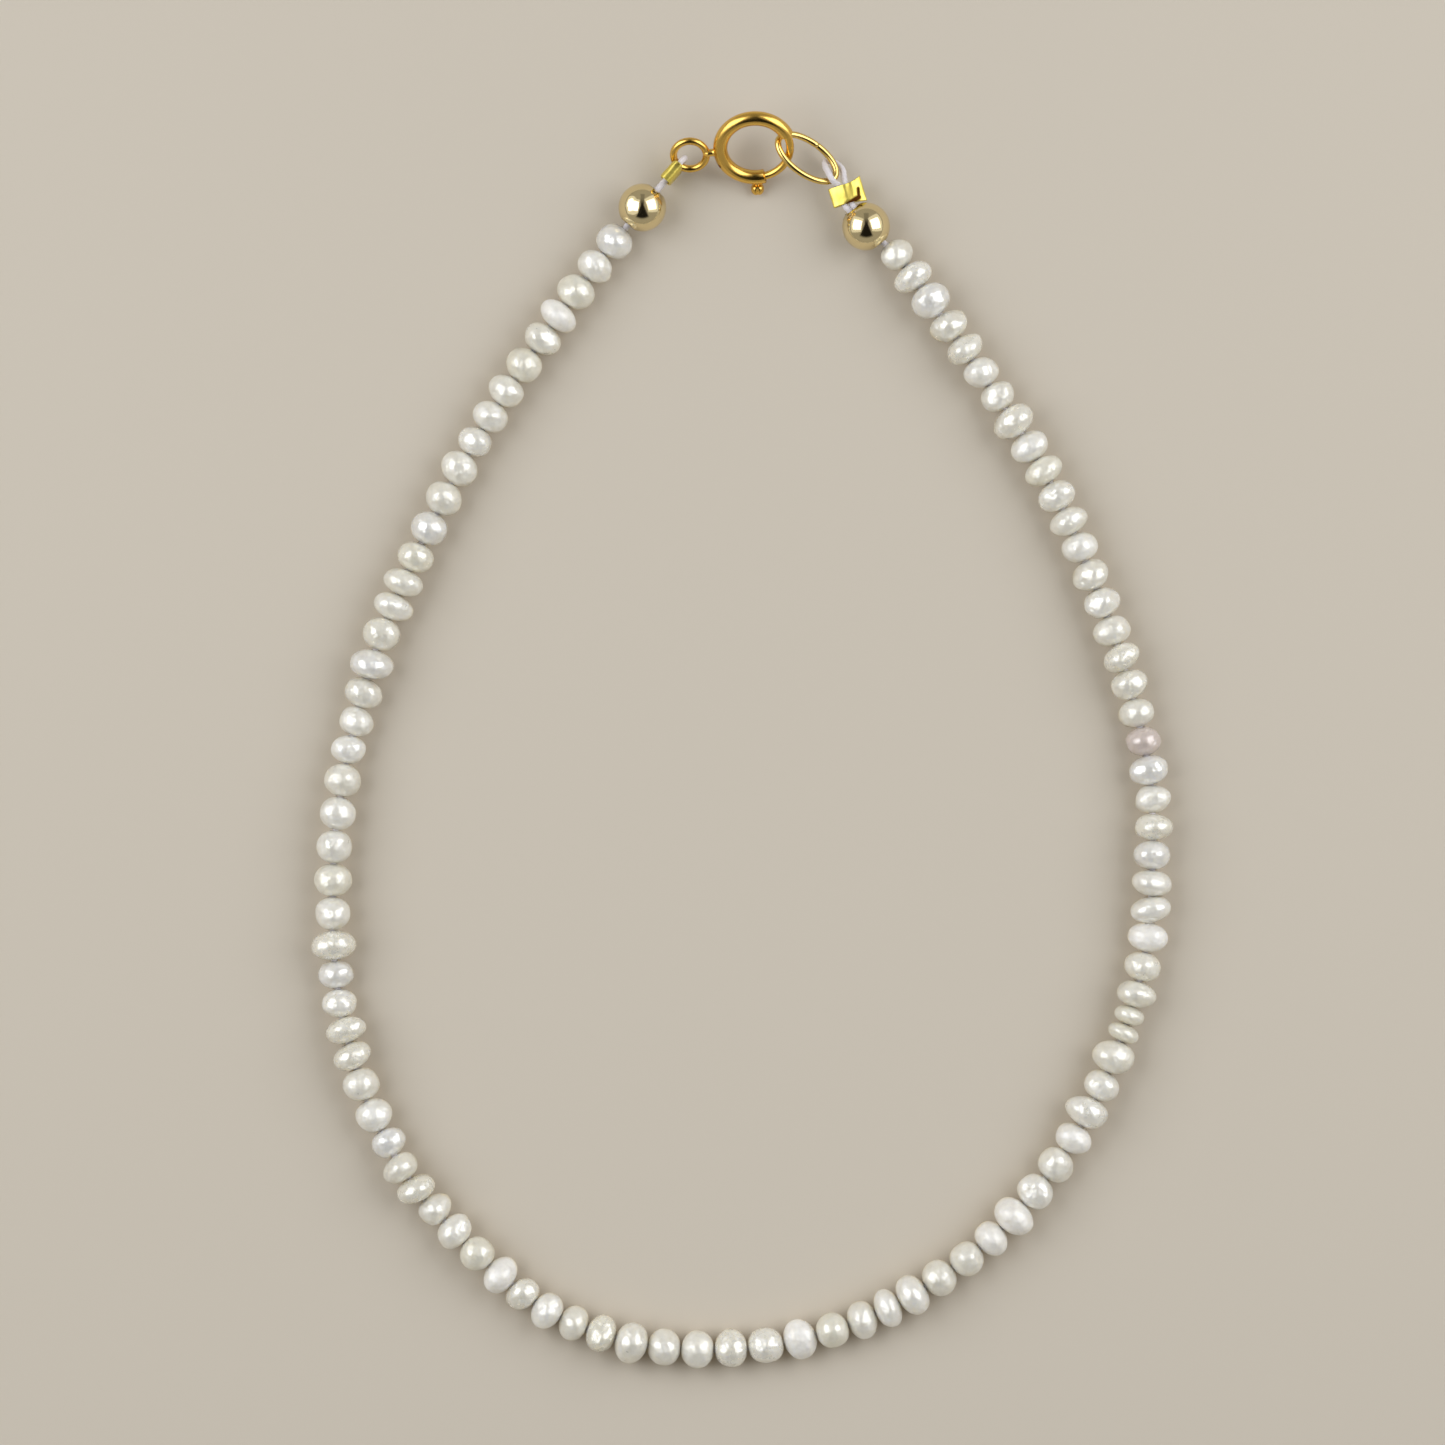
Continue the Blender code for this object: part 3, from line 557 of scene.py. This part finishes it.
CRIMP_HALF_WIDTH = 1.42
CRIMP_HALF_THICKNESS = 0.55
CRIMP_WALL = 0.19
SIDE_POWER, FACE_POWER = 0.55, 0.6  # under 1, the section is squarer than an ellipse
BITE_DEPTH, BITE_WIDTH = 0.06, 0.35  # the share by which the jaws thinned the middle
JAW_MARK = 0.022
CRIMP_LEFT = np.array([-6.167, 47.123, 2.051])
CRIMP_RIGHT = np.array([8.557, 45.536, 2.15])
HEADING_LEFT = np.array([0.6521, 0.7581, 0.0])
HEADING_RIGHT = np.array([-0.2924, 0.9563, 0.0])

# Lemon gold plate on soft metal that the jaws have marked: bright, its reflections blurred and
# broken up, with painted brown shade in the creases.
lemon = polished_gold("lemon gold plate", "#F7E270", 0.33, 0.45, 0.9)


def squeezed_tube(centre, heading, sideways, middle, low_reach, high_reach, crown, ridge, creases):
    """A tube squeezed flat, closed on itself: outside along, then inside back. Round the tube the
    section is a superellipse, x = a cos^0.55 and y = b sin^0.6, thinned at the middle where the
    jaws bit and crowned by the square of the way along. With a ridge, the upper side is a soft
    roof of that height, y = ridge (1 - |x| / a)^0.6. Either end reaches from half the middle's
    length by the reach of its left or right edge, times x squared. The creases are grooves in the
    upper side, depth exp(-(d / w)^2) at the distance d from a line between two places, x and
    along, with painted shade that darkens them the same way. The jaws' marks are shallow waves in
    x and along. It gives the grid and the painted crease shade."""
    angle = np.arange(144) * 2 * math.pi / 144
    share = np.linspace(-1, 1, 48)
    square = np.cross(sideways, heading)
    rings, creased = [], []
    for wall, order in ((0.0, share), (CRIMP_WALL, share[::-1])):
        cos, sin = np.cos(angle), np.sin(angle)
        x = (CRIMP_HALF_WIDTH - wall) * np.sign(cos) * np.abs(cos) ** SIDE_POWER
        y = (CRIMP_HALF_THICKNESS - wall) * np.sign(sin) * np.abs(sin) ** FACE_POWER
        lobe = np.minimum(1.0, np.abs(x) / CRIMP_HALF_WIDTH)
        edge = (x < 0).astype(int)
        low = middle / 2 + np.array(low_reach)[edge] * lobe**2
        high = middle / 2 + np.array(high_reach)[edge] * lobe**2
        along = np.where(order[:, None] < 0, low, high) * order[:, None]
        if ridge:
            inward = (1 - np.abs(x) / (CRIMP_HALF_WIDTH - wall)).clip(0, 1)
            y = np.where(y > 0, (ridge - wall) * inward**FACE_POWER, y)
        height = np.broadcast_to(y, along.shape)
        # Painted shade along the creases, as dark as each crease's strength says
        dark = np.zeros(along.shape)
        if wall == 0.0:
            bite = BITE_DEPTH * np.exp(-((x / BITE_WIDTH) ** 2))
            bulge = 1 - crown * (order[:, None] ** 2) * lobe
            height = height * (bulge - bite)
            wave = JAW_MARK * np.cos(3.7 * x + 1.9 * along + 0.6) * np.cos(3.1 * along - 2.3 * x)
            groove = np.zeros(along.shape)
            for start_x, start_along, end_x, end_along, depth, width, shade in creases:
                run_x, run_along = end_x - start_x, end_along - start_along
                part = (x - start_x) * run_x + (along - start_along) * run_along
                part = (part / (run_x**2 + run_along**2)).clip(0, 1)
                aside = x - start_x - part * run_x
                apart = np.hypot(aside, along - start_along - part * run_along)
                near = np.exp(-((apart / width) ** 2))
                groove = np.maximum(groove, depth * near)
                dark = np.maximum(dark, shade * near)
            height = np.where(height > 0, height + wave - groove, height)
            dark = np.where(height > 0, dark.clip(0, 1), 0.0)
        rings.append(
            centre
            + np.broadcast_to(x, along.shape)[..., None] * sideways
            + height[..., None] * square
            + along[..., None] * heading
        )
        creased.append(dark)
    return np.concatenate(rings), np.concatenate(creased)


UP = np.array([0.0, 0.0, 1.0])
ACROSS_RIGHT = np.cross(HEADING_RIGHT, UP)

# Where each crease starts and ends, x and along, then its depth, its width and how dark its painted
# shade is
RIGHT_CREASES = [
    (0.98, 0.15, 0.84, -0.45, 0.08, 0.12, 1.5),
    (-0.25, -0.88, 0.80, -0.58, 0.08, 0.20, 1.6),
    (0.35, 0.9, 0.15, -0.3, 0.07, 0.16, 0.35),
    (-1.38, -0.88, -0.2, -0.88, 0.04, 0.09, 0.8),
    (-1.38, 0.86, 0.9, 1.0, 0.04, 0.08, 0.6),
]
left_tube = squeezed_tube(
    CRIMP_LEFT, HEADING_LEFT, UP, middle=1.24, low_reach=(0.05, 0.05), high_reach=(0.55, 0.55),
    crown=0.05, ridge=0.0, creases=[],
)
right_tube = squeezed_tube(
    CRIMP_RIGHT, HEADING_RIGHT, ACROSS_RIGHT, middle=1.6, low_reach=(0.20, 0.02),
    high_reach=(0.35, 0.02), crown=0.10, ridge=0.62, creases=RIGHT_CREASES,
)
for side_name, (grid, creased) in (("left", left_tube), ("right", right_tube)):
    points, quads = closed_grid(grid)
    crimp = smooth_piece(f"squeezed_crimp_{side_name}", points, quads, lemon)
    # The crimp's crease attribute carries painted shade, brown along the folds.
    crease_shade_layer = crimp.data.attributes.new("painted_crease_shade", "FLOAT", "POINT")
    crease_shade_layer.data.foreach_set("value", creased.ravel())
    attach(crimp, "anklet")
    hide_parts(f"crimp_{side_name}")


# The thread's end loops
# The same white cord, doubled: from inside each ball through the crimp, round the wire that it
# holds, and back beside itself.

HELD_LEFT = np.array([-5.469, 47.934, 2.051])
HELD_RIGHT = np.array([7.595, 47.122, 1.96])
STRAND_OFFSET = 0.3

# Points round the held wire: across the thread, along it away from the crimp, and up
LOOP_LEFT = [
    (0.0, -0.42, 0.60), (0.0, 0.04, 0.78), (0.0, 0.54, 0.56), (0.0, 0.76, 0.0),
    (0.0, 0.54, -0.62), (0.0, 0.0, -0.78), (0.0, -0.42, -0.60),
]
LOOP_RIGHT = [
    (-0.26, -0.70, 0.60), (-0.44, -0.36, 0.96), (-0.54, 0.04, 0.98), (-0.60, 0.50, 0.52),
    (-0.62, 0.95, -0.10), (-0.45, 1.38, -0.72), (0.05, 1.28, -0.98), (0.50, 0.80, -0.85),
    (0.70, 0.22, -0.48), (0.60, -0.40, -0.12),
]


def end_loop(held, crimp, ball, heading, bore, loop, strand, entry, mouth):
    """The doubled cord's line: out through ball and crimp at one strand's offset, round the held
    wire, and back at the other's. Entry and mouth are the ends of the crimp's middle, from its
    centre."""
    spine = np.array([
        ball + bore * THREAD_RADIUS,
        ball + bore * (BALL_RADIUS - BALL_WALL),
        crimp - heading * entry,
        crimp + heading * mouth,
    ])
    round_wire = held + np.array(loop) @ np.array([np.cross(heading, UP), heading, UP])
    out, back = spine + strand * STRAND_OFFSET, spine[::-1] - strand * STRAND_OFFSET
    return through(np.vstack([out, round_wire, back]), per_span=10)


left_line = end_loop(
    HELD_LEFT, CRIMP_LEFT, BALL_LEFT, HEADING_LEFT, BORE_LEFT, LOOP_LEFT, UP, entry=0.62, mouth=0.27
)
right_line = end_loop(
    HELD_RIGHT, CRIMP_RIGHT - 0.2 * ACROSS_RIGHT, BALL_RIGHT, HEADING_RIGHT, BORE_RIGHT, LOOP_RIGHT,
    -ACROSS_RIGHT, entry=0.8, mouth=0.8,
)
for side_name, line, reference in (
    ("left", left_line, np.cross(HEADING_LEFT, UP)),
    ("right", right_line, np.array([0.45, 0.55, 0.70])),
):
    points, quads = capped(swept(line, plied(line), reference))
    loop = smooth_piece(f"thread_end_loop_{side_name}", points, quads, cord_white)
    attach(loop, "anklet")
    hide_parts(f"thread_{side_name}")


# The jump ring
# Half-millimetre brass wire wound, cut and pressed shut with a butt joint, a little oval from
# pulling. It is hooked into the clasp, its thread end hanging lower.

JUMP_LONG, JUMP_SHORT, JUMP_WIRE = 2.83, 1.46, 0.275
JUMP_STATIONS, JOINT_STATION, STATION_STEP = 256, 62, 0.054  # the step near the joint, in mm
JOINT_DEPTH, JOINT_WIDTH = 0.14, 0.05  # a share of the wire's radius, and mm along it
JUMP_CENTRE = np.array([5.2, 48.49, 2.52])
JUMP_AXES = np.array([
    (0.81931, -0.54642, -0.17365),
    (0.47197, 0.81473, -0.33682),
    (0.32552, 0.19401, 0.92542),
])

# Straw gold plate on drawn wire: polished, its highlights a pale yellow, with faint drawing marks.
straw = polished_gold("straw gold plate", "#F2D07A", 0.16, 0.25, 0.12)


def ring_line(long_side, short_side, stations):
    """A closed oval about the third axis: (long cos a, short sin a, 0)."""
    angle = np.arange(stations) * 2 * math.pi / stations
    return np.column_stack([long_side * np.cos(angle), short_side * np.sin(angle), 0 * angle])


def round_ring(path, radius, columns):
    """Rings of corners round a closed flat line: out along the line's own normal in its plane,
    and up along the third axis."""
    way = np.roll(path, -1, axis=0) - np.roll(path, 1, axis=0)
    way = way / np.linalg.norm(way, axis=1, keepdims=True)
    out = np.cross(way, UP)
    angle = np.arange(columns) * 2 * math.pi / columns
    rim = np.cos(angle)[:, None] * out[:, None] + np.sin(angle)[:, None] * UP
    return path[:, None] + np.reshape(radius, (-1, 1, 1)) * rim


oval = ring_line(JUMP_LONG, JUMP_SHORT, JUMP_STATIONS)
joint = np.minimum(np.abs(np.arange(JUMP_STATIONS) - JOINT_STATION) * STATION_STEP, 1.0)
wire_radius = JUMP_WIRE * (1 - JOINT_DEPTH * np.exp(-((joint / JOINT_WIDTH) ** 2)))
points, quads = closed_grid(JUMP_CENTRE + round_ring(oval, wire_radius, 24) @ JUMP_AXES)
jump = smooth_piece("jump_ring_wire", points, quads, straw)
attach(jump, "anklet")
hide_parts("jump_ring")


# The spring ring
# A thin brass tube bent round, with a slot on its outer side for the trigger's pin and a small
# vent hole, and a wire loop soldered on. It is worked out flat about its own axis and then tilted.

CLASP_CENTRE = np.array([0.88, 49.25, 3.135])
CLASP_TILT = math.radians(39.5)
CLASP_RADIUS, TUBE_RADIUS, HOLLOW_RADIUS = 2.9, 0.6, 0.43
TUBE_START, TUBE_END = math.radians(27.0), math.radians(286.0)
LOOP_RADIUS, LOOP_WIRE, LOOP_ANGLE = 1.37, 0.31, math.radians(187.4)
NECK_LENGTH, NECK_START, NECK_RADIUS, NECK_FLARE = 0.28, 0.46, 0.32, 0.10
LIP_RISE = 0.4  # how far a tube end's lip stands out, as a share of the step between stations
CRISP_ANGLE = math.radians(40)
LEVER_ANGLE, LEVER_SWING = math.radians(-87.0), math.radians(50.0)
LEVER_NECK, SLOT_CLEARANCE = 0.22, 0.12
VENT_ANGLE, VENT_RISE, VENT_RADIUS = math.radians(208.0), math.radians(35.0), 0.2

# Warm gold plate on drawn tube: a deeper yellow that goes orange in the hollows, with faint marks.
warm = polished_gold("warm gold plate", "#F5C764", 0.19, 0.25, 0.15)


def tilted(points):
    """Turns points by the clasp's tilt about X and moves them to its centre."""
    cos, sin = math.cos(CLASP_TILT), math.sin(CLASP_TILT)
    return CLASP_CENTRE + points @ np.array([(1, 0, 0), (0, cos, sin), (0, -sin, cos)])


def bent(radius, start, end, stations):
    """A line along an arc about the third axis."""
    angle = np.linspace(start, end, stations)
    return np.column_stack([radius * np.cos(angle), radius * np.sin(angle), 0 * angle])


def even(path, radius, columns):
    """The same radius all along and round a line."""
    return np.full((len(path), columns), radius)


def reshaped(target, changes):
    """Unions and cuts with exact Booleans, then keeps the result as a plain mesh whose steeper
    edges stay crisp."""
    for other, operation in changes:
        change = target.modifiers.new(operation.lower(), "BOOLEAN")
        change.operation = operation
        change.object = other
    ready = target.evaluated_get(bpy.context.evaluated_depsgraph_get())
    mesh = bpy.data.meshes.new_from_object(ready)
    target.modifiers.clear()
    target.data = mesh
    for other, _ in changes:
        bpy.data.objects.remove(other, do_unlink=True)
    mesh.shade_smooth()
    mesh.set_sharp_from_angle(angle=CRISP_ANGLE)


arc = bent(CLASP_RADIUS, TUBE_START, TUBE_END, 150)
outside = swept(arc, even(arc, TUBE_RADIUS, 40), UP)
hollow = swept(arc, even(arc, HOLLOW_RADIUS, 40), UP)[::-1]
lip_radius = (TUBE_RADIUS + HOLLOW_RADIUS) / 2
lips = swept(arc, even(arc, lip_radius, 40), UP)
start_lip = lips[0] + (lips[0].mean(axis=0) - lips[1].mean(axis=0)) * LIP_RISE
end_lip = lips[-1] + (lips[-1].mean(axis=0) - lips[-2].mean(axis=0)) * LIP_RISE
points, quads = closed_grid(tilted(np.concatenate([outside, [end_lip], hollow, [start_lip]])))
ring = smooth_piece("spring_ring_tube", points, quads, warm)

away = np.array([math.cos(LOOP_ANGLE), math.sin(LOOP_ANGLE), 0.0])
loop_distance = CLASP_RADIUS + TUBE_RADIUS + NECK_LENGTH + LOOP_WIRE + LOOP_RADIUS
loop_line = ring_line(LOOP_RADIUS, LOOP_RADIUS, 96) + away * loop_distance
points, quads = closed_grid(tilted(round_ring(loop_line, LOOP_WIRE, 24)))
small_loop = smooth_piece("small loop", points, quads, warm)

share = np.linspace(0, 1, 14)
neck_run = TUBE_RADIUS + NECK_LENGTH + LOOP_WIRE - NECK_START
neck_line = away * (CLASP_RADIUS + NECK_START + share * neck_run)[:, None]
neck_radius = (NECK_RADIUS + NECK_FLARE * (2 * share - 1) ** 4)[:, None] * np.ones(24)
points, quads = capped(tilted(swept(neck_line, neck_radius, UP)))
neck = smooth_piece("soldered neck", points, quads, warm)

slot_half = LEVER_NECK + SLOT_CLEARANCE
slot_start = LEVER_ANGLE + slot_half / CLASP_RADIUS
slot_end = LEVER_ANGLE - LEVER_SWING - slot_half / CLASP_RADIUS
slot_line = bent(CLASP_RADIUS + lip_radius, slot_start, slot_end, 40)
points, quads = capped(tilted(swept(slot_line, even(slot_line, slot_half, 24), UP)))
slot_cut = smooth_piece("slot cut", points, quads, warm)

vent_out = np.array([math.cos(VENT_ANGLE), math.sin(VENT_ANGLE), 0.0])
vent_aim = vent_out * math.cos(VENT_RISE) + UP * math.sin(VENT_RISE)
vent_line = vent_out * CLASP_RADIUS + vent_aim * np.linspace(0.25, 1.1, 6)[:, None]
points, quads = capped(tilted(swept(vent_line, even(vent_line, VENT_RADIUS, 24), UP)))
vent_cut = smooth_piece("vent cut", points, quads, warm)

changes = [(neck, "UNION"), (small_loop, "UNION")]
changes += [(slot_cut, "DIFFERENCE"), (vent_cut, "DIFFERENCE")]
reshaped(ring, changes)
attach(ring, "anklet")
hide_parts("clasp_ring")


# The trigger
# A curved brass bolt that slides in the tube against a hidden coil spring and closes the ring's
# mouth, with a riveted pin and a small thumb knob, grooved down its middle.

BOLT_RADIUS = 0.33
BOLT_START, BOLT_END = math.radians(38.0), math.radians(-102.0)
KNOB_RADIUS, KNOB_LENGTH, KNOB_CLEARANCE, KNOB_CORE = 0.55, 0.85, 0.15, 0.16
GROOVE_DEPTH, GROOVE_WIDTH, GROOVE_FADE = 0.26, 0.22, 0.2

bolt_line = bent(CLASP_RADIUS, BOLT_END, BOLT_START, 90)
points, quads = capped(tilted(swept(bolt_line, even(bolt_line, BOLT_RADIUS, 28), UP)))
bolt = smooth_piece("trigger_bolt", points, quads, warm)


def thumb_knob():
    """A turned pin and knob about the lever's direction: profile of half widths and distances
    from the ring's centre, closed at both ends, with the knob narrowed by about a quarter in a
    groove above and below."""
    base = CLASP_RADIUS + TUBE_RADIUS + KNOB_CLEARANCE
    rise = np.linspace(0, math.pi, 15)
    knob_half = KNOB_CORE + (KNOB_RADIUS - KNOB_CORE) * np.sin(rise) ** 0.55
    knob_at = base + KNOB_LENGTH / 2 * (1 - np.cos(rise))
    half_width = np.concatenate([np.full(6, LEVER_NECK), knob_half[1:]])
    distance = np.concatenate([np.linspace(CLASP_RADIUS, base, 6), knob_at[1:]])
    angle = np.arange(40) * 2 * math.pi / 40
    faded = np.clip((distance[:, None] - base) / GROOVE_FADE, 0, 1)
    groove = np.exp(-((np.cos(angle) / GROOVE_WIDTH) ** 2)) * faded
    radius = half_width[:, None] * (1 - GROOVE_DEPTH * groove)
    lever = np.array([math.cos(LEVER_ANGLE), math.sin(LEVER_ANGLE), 0.0])
    beside = np.cross(UP, lever)
    rim = np.cos(angle)[:, None] * beside + np.sin(angle)[:, None] * UP
    return distance[:, None, None] * lever + radius[..., None] * rim


points, quads = capped(tilted(thumb_knob()))
knob = smooth_piece("thumb knob", points, quads, warm)
reshaped(bolt, [(knob, "UNION")])
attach(bolt, "trigger")
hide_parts("clasp_trigger")


# The setting
# The anklet lies on a plain pale sheet and is seen from straight above. On each side a broad soft
# light and a smaller, brighter one put a bright mark on every pearl; the dim zenith parts the two.

SHEET_HALF, SHEET_DROP = 1500.0, 0.01

paper, tree = empty_material("plain pale sheet")
place = add_node(tree, "ShaderNodeTexCoord").outputs["Object"]
cloud = add_node(tree, "ShaderNodeTexNoise", {"Vector": place, "Scale": 8.0}).outputs["Fac"]
shade = add_node(
    tree, "ShaderNodeMix", {0: cloud, 6: linear("#C7BEAF"), 7: linear("#CAC1B2")}, data_type="RGBA"
).outputs[2]
surface = add_node(tree, "ShaderNodeBsdfPrincipled", {"Base Color": shade, "Roughness": 0.9})
add_node(tree, "ShaderNodeOutputMaterial", {"Surface": surface.outputs[0]})
corners = np.array([
    (x * SHEET_HALF, y * SHEET_HALF, -SHEET_DROP) for x, y in ((-1, -1), (1, -1), (1, 1), (-1, 1))
])
sheet_mesh = bpy.data.meshes.new("pale_sheet")
sheet_mesh.from_pydata((corners * MM).tolist(), [], [(0, 1, 2, 3)])
sheet_mesh.materials.append(paper)
sheet = bpy.data.objects.new("pale_sheet", sheet_mesh)
bpy.context.scene.collection.objects.link(sheet)

# Place, width and depth in metres, and how bright the lamp's face is
for name, place, width, depth, radiance in (
    ("broad light left", (-0.34, 0.07, 0.29), 0.62, 0.52, 0.51),
    ("broad light right", (0.33, 0.12, 0.27), 0.62, 0.52, 0.51),
    ("bright light left", (-0.31, 0.07, 0.31), 0.35, 0.35, 2.3),
    ("bright light right", (0.31, 0.11, 0.29), 0.35, 0.35, 2.3),
):
    lamp = bpy.data.lights.new(name, "AREA")
    lamp.shape = "RECTANGLE"
    lamp.size, lamp.size_y = width, depth
    lamp.energy = radiance * math.pi * width * depth
    lamp.color = linear("#F6F9FF")[:3]
    light = bpy.data.objects.new(name, lamp)
    light.location = place
    light.rotation_euler = (-light.location).to_track_quat("-Z", "Y").to_euler()
    light.visible_camera = False
    bpy.context.scene.collection.objects.link(light)

# The room is dim overhead. Its clear light stays at both sides, at the back and low down, so that
# the balls mirror a dark band between their two bright marks.
world = bpy.data.worlds.new("soft room")
world.use_nodes = True
tree = world.node_tree
tree.nodes.clear()
way = add_node(tree, "ShaderNodeTexCoord").outputs["Generated"]
parts = add_node(tree, "ShaderNodeSeparateXYZ", {0: way})
aside = add_node(tree, "ShaderNodeMath", {0: parts.outputs[0]}, operation="ABSOLUTE").outputs[0]
spread = add_node(
    tree, "ShaderNodeMapRange", {"Value": parts.outputs[1], 1: 0.1, 2: -0.75, 3: 0.07, 4: 0.42}
).outputs[0]
beyond = add_node(tree, "ShaderNodeMath", {0: aside, 1: spread}, operation="SUBTRACT").outputs[0]
clear_side = add_node(
    tree, "ShaderNodeMapRange", {"Value": beyond, 1: 0.0, 2: 0.14}, interpolation_type="SMOOTHSTEP"
).outputs[0]
clear_back = add_node(
    tree,
    "ShaderNodeMapRange",
    {"Value": parts.outputs[1], 1: 0.1, 2: 0.7, 4: 0.6},
    interpolation_type="SMOOTHSTEP",
).outputs[0]
clear_low = add_node(
    tree,
    "ShaderNodeMapRange",
    {"Value": parts.outputs[2], 1: 0.62, 2: 0.40},
    interpolation_type="SMOOTHSTEP",
).outputs[0]
clear = add_node(
    tree, "ShaderNodeMath", {0: clear_side, 1: clear_back}, operation="MAXIMUM"
).outputs[0]
clear = add_node(tree, "ShaderNodeMath", {0: clear, 1: clear_low}, operation="MAXIMUM").outputs[0]
room = add_node(
    tree, "ShaderNodeMix", {0: clear, 6: linear("#262421"), 7: linear("#CDCAC3")}, data_type="RGBA"
).outputs[2]
glow = add_node(tree, "ShaderNodeBackground", {"Color": room, "Strength": 0.63})
add_node(tree, "ShaderNodeOutputWorld", {"Surface": glow.outputs[0]})
bpy.context.scene.world = world
bpy.context.scene.view_settings.view_transform = "Standard"

# The frame is 1445 pixels wide at 12 pixels to the millimetre
VIEW_WIDTH = 1445 / 12
CAMERA_HEIGHT = 450.0
SENSOR_WIDTH = 36.0
camera_data = bpy.data.cameras.new("overhead")
camera_data.sensor_width = SENSOR_WIDTH
camera_data.lens = SENSOR_WIDTH * CAMERA_HEIGHT / VIEW_WIDTH
camera_data.clip_start = 0.005
camera = bpy.data.objects.new("overhead", camera_data)
camera.location = (-0.00183, 0.00154, 0.0015 + CAMERA_HEIGHT * MM)
bpy.context.scene.collection.objects.link(camera)
bpy.context.scene.camera = camera
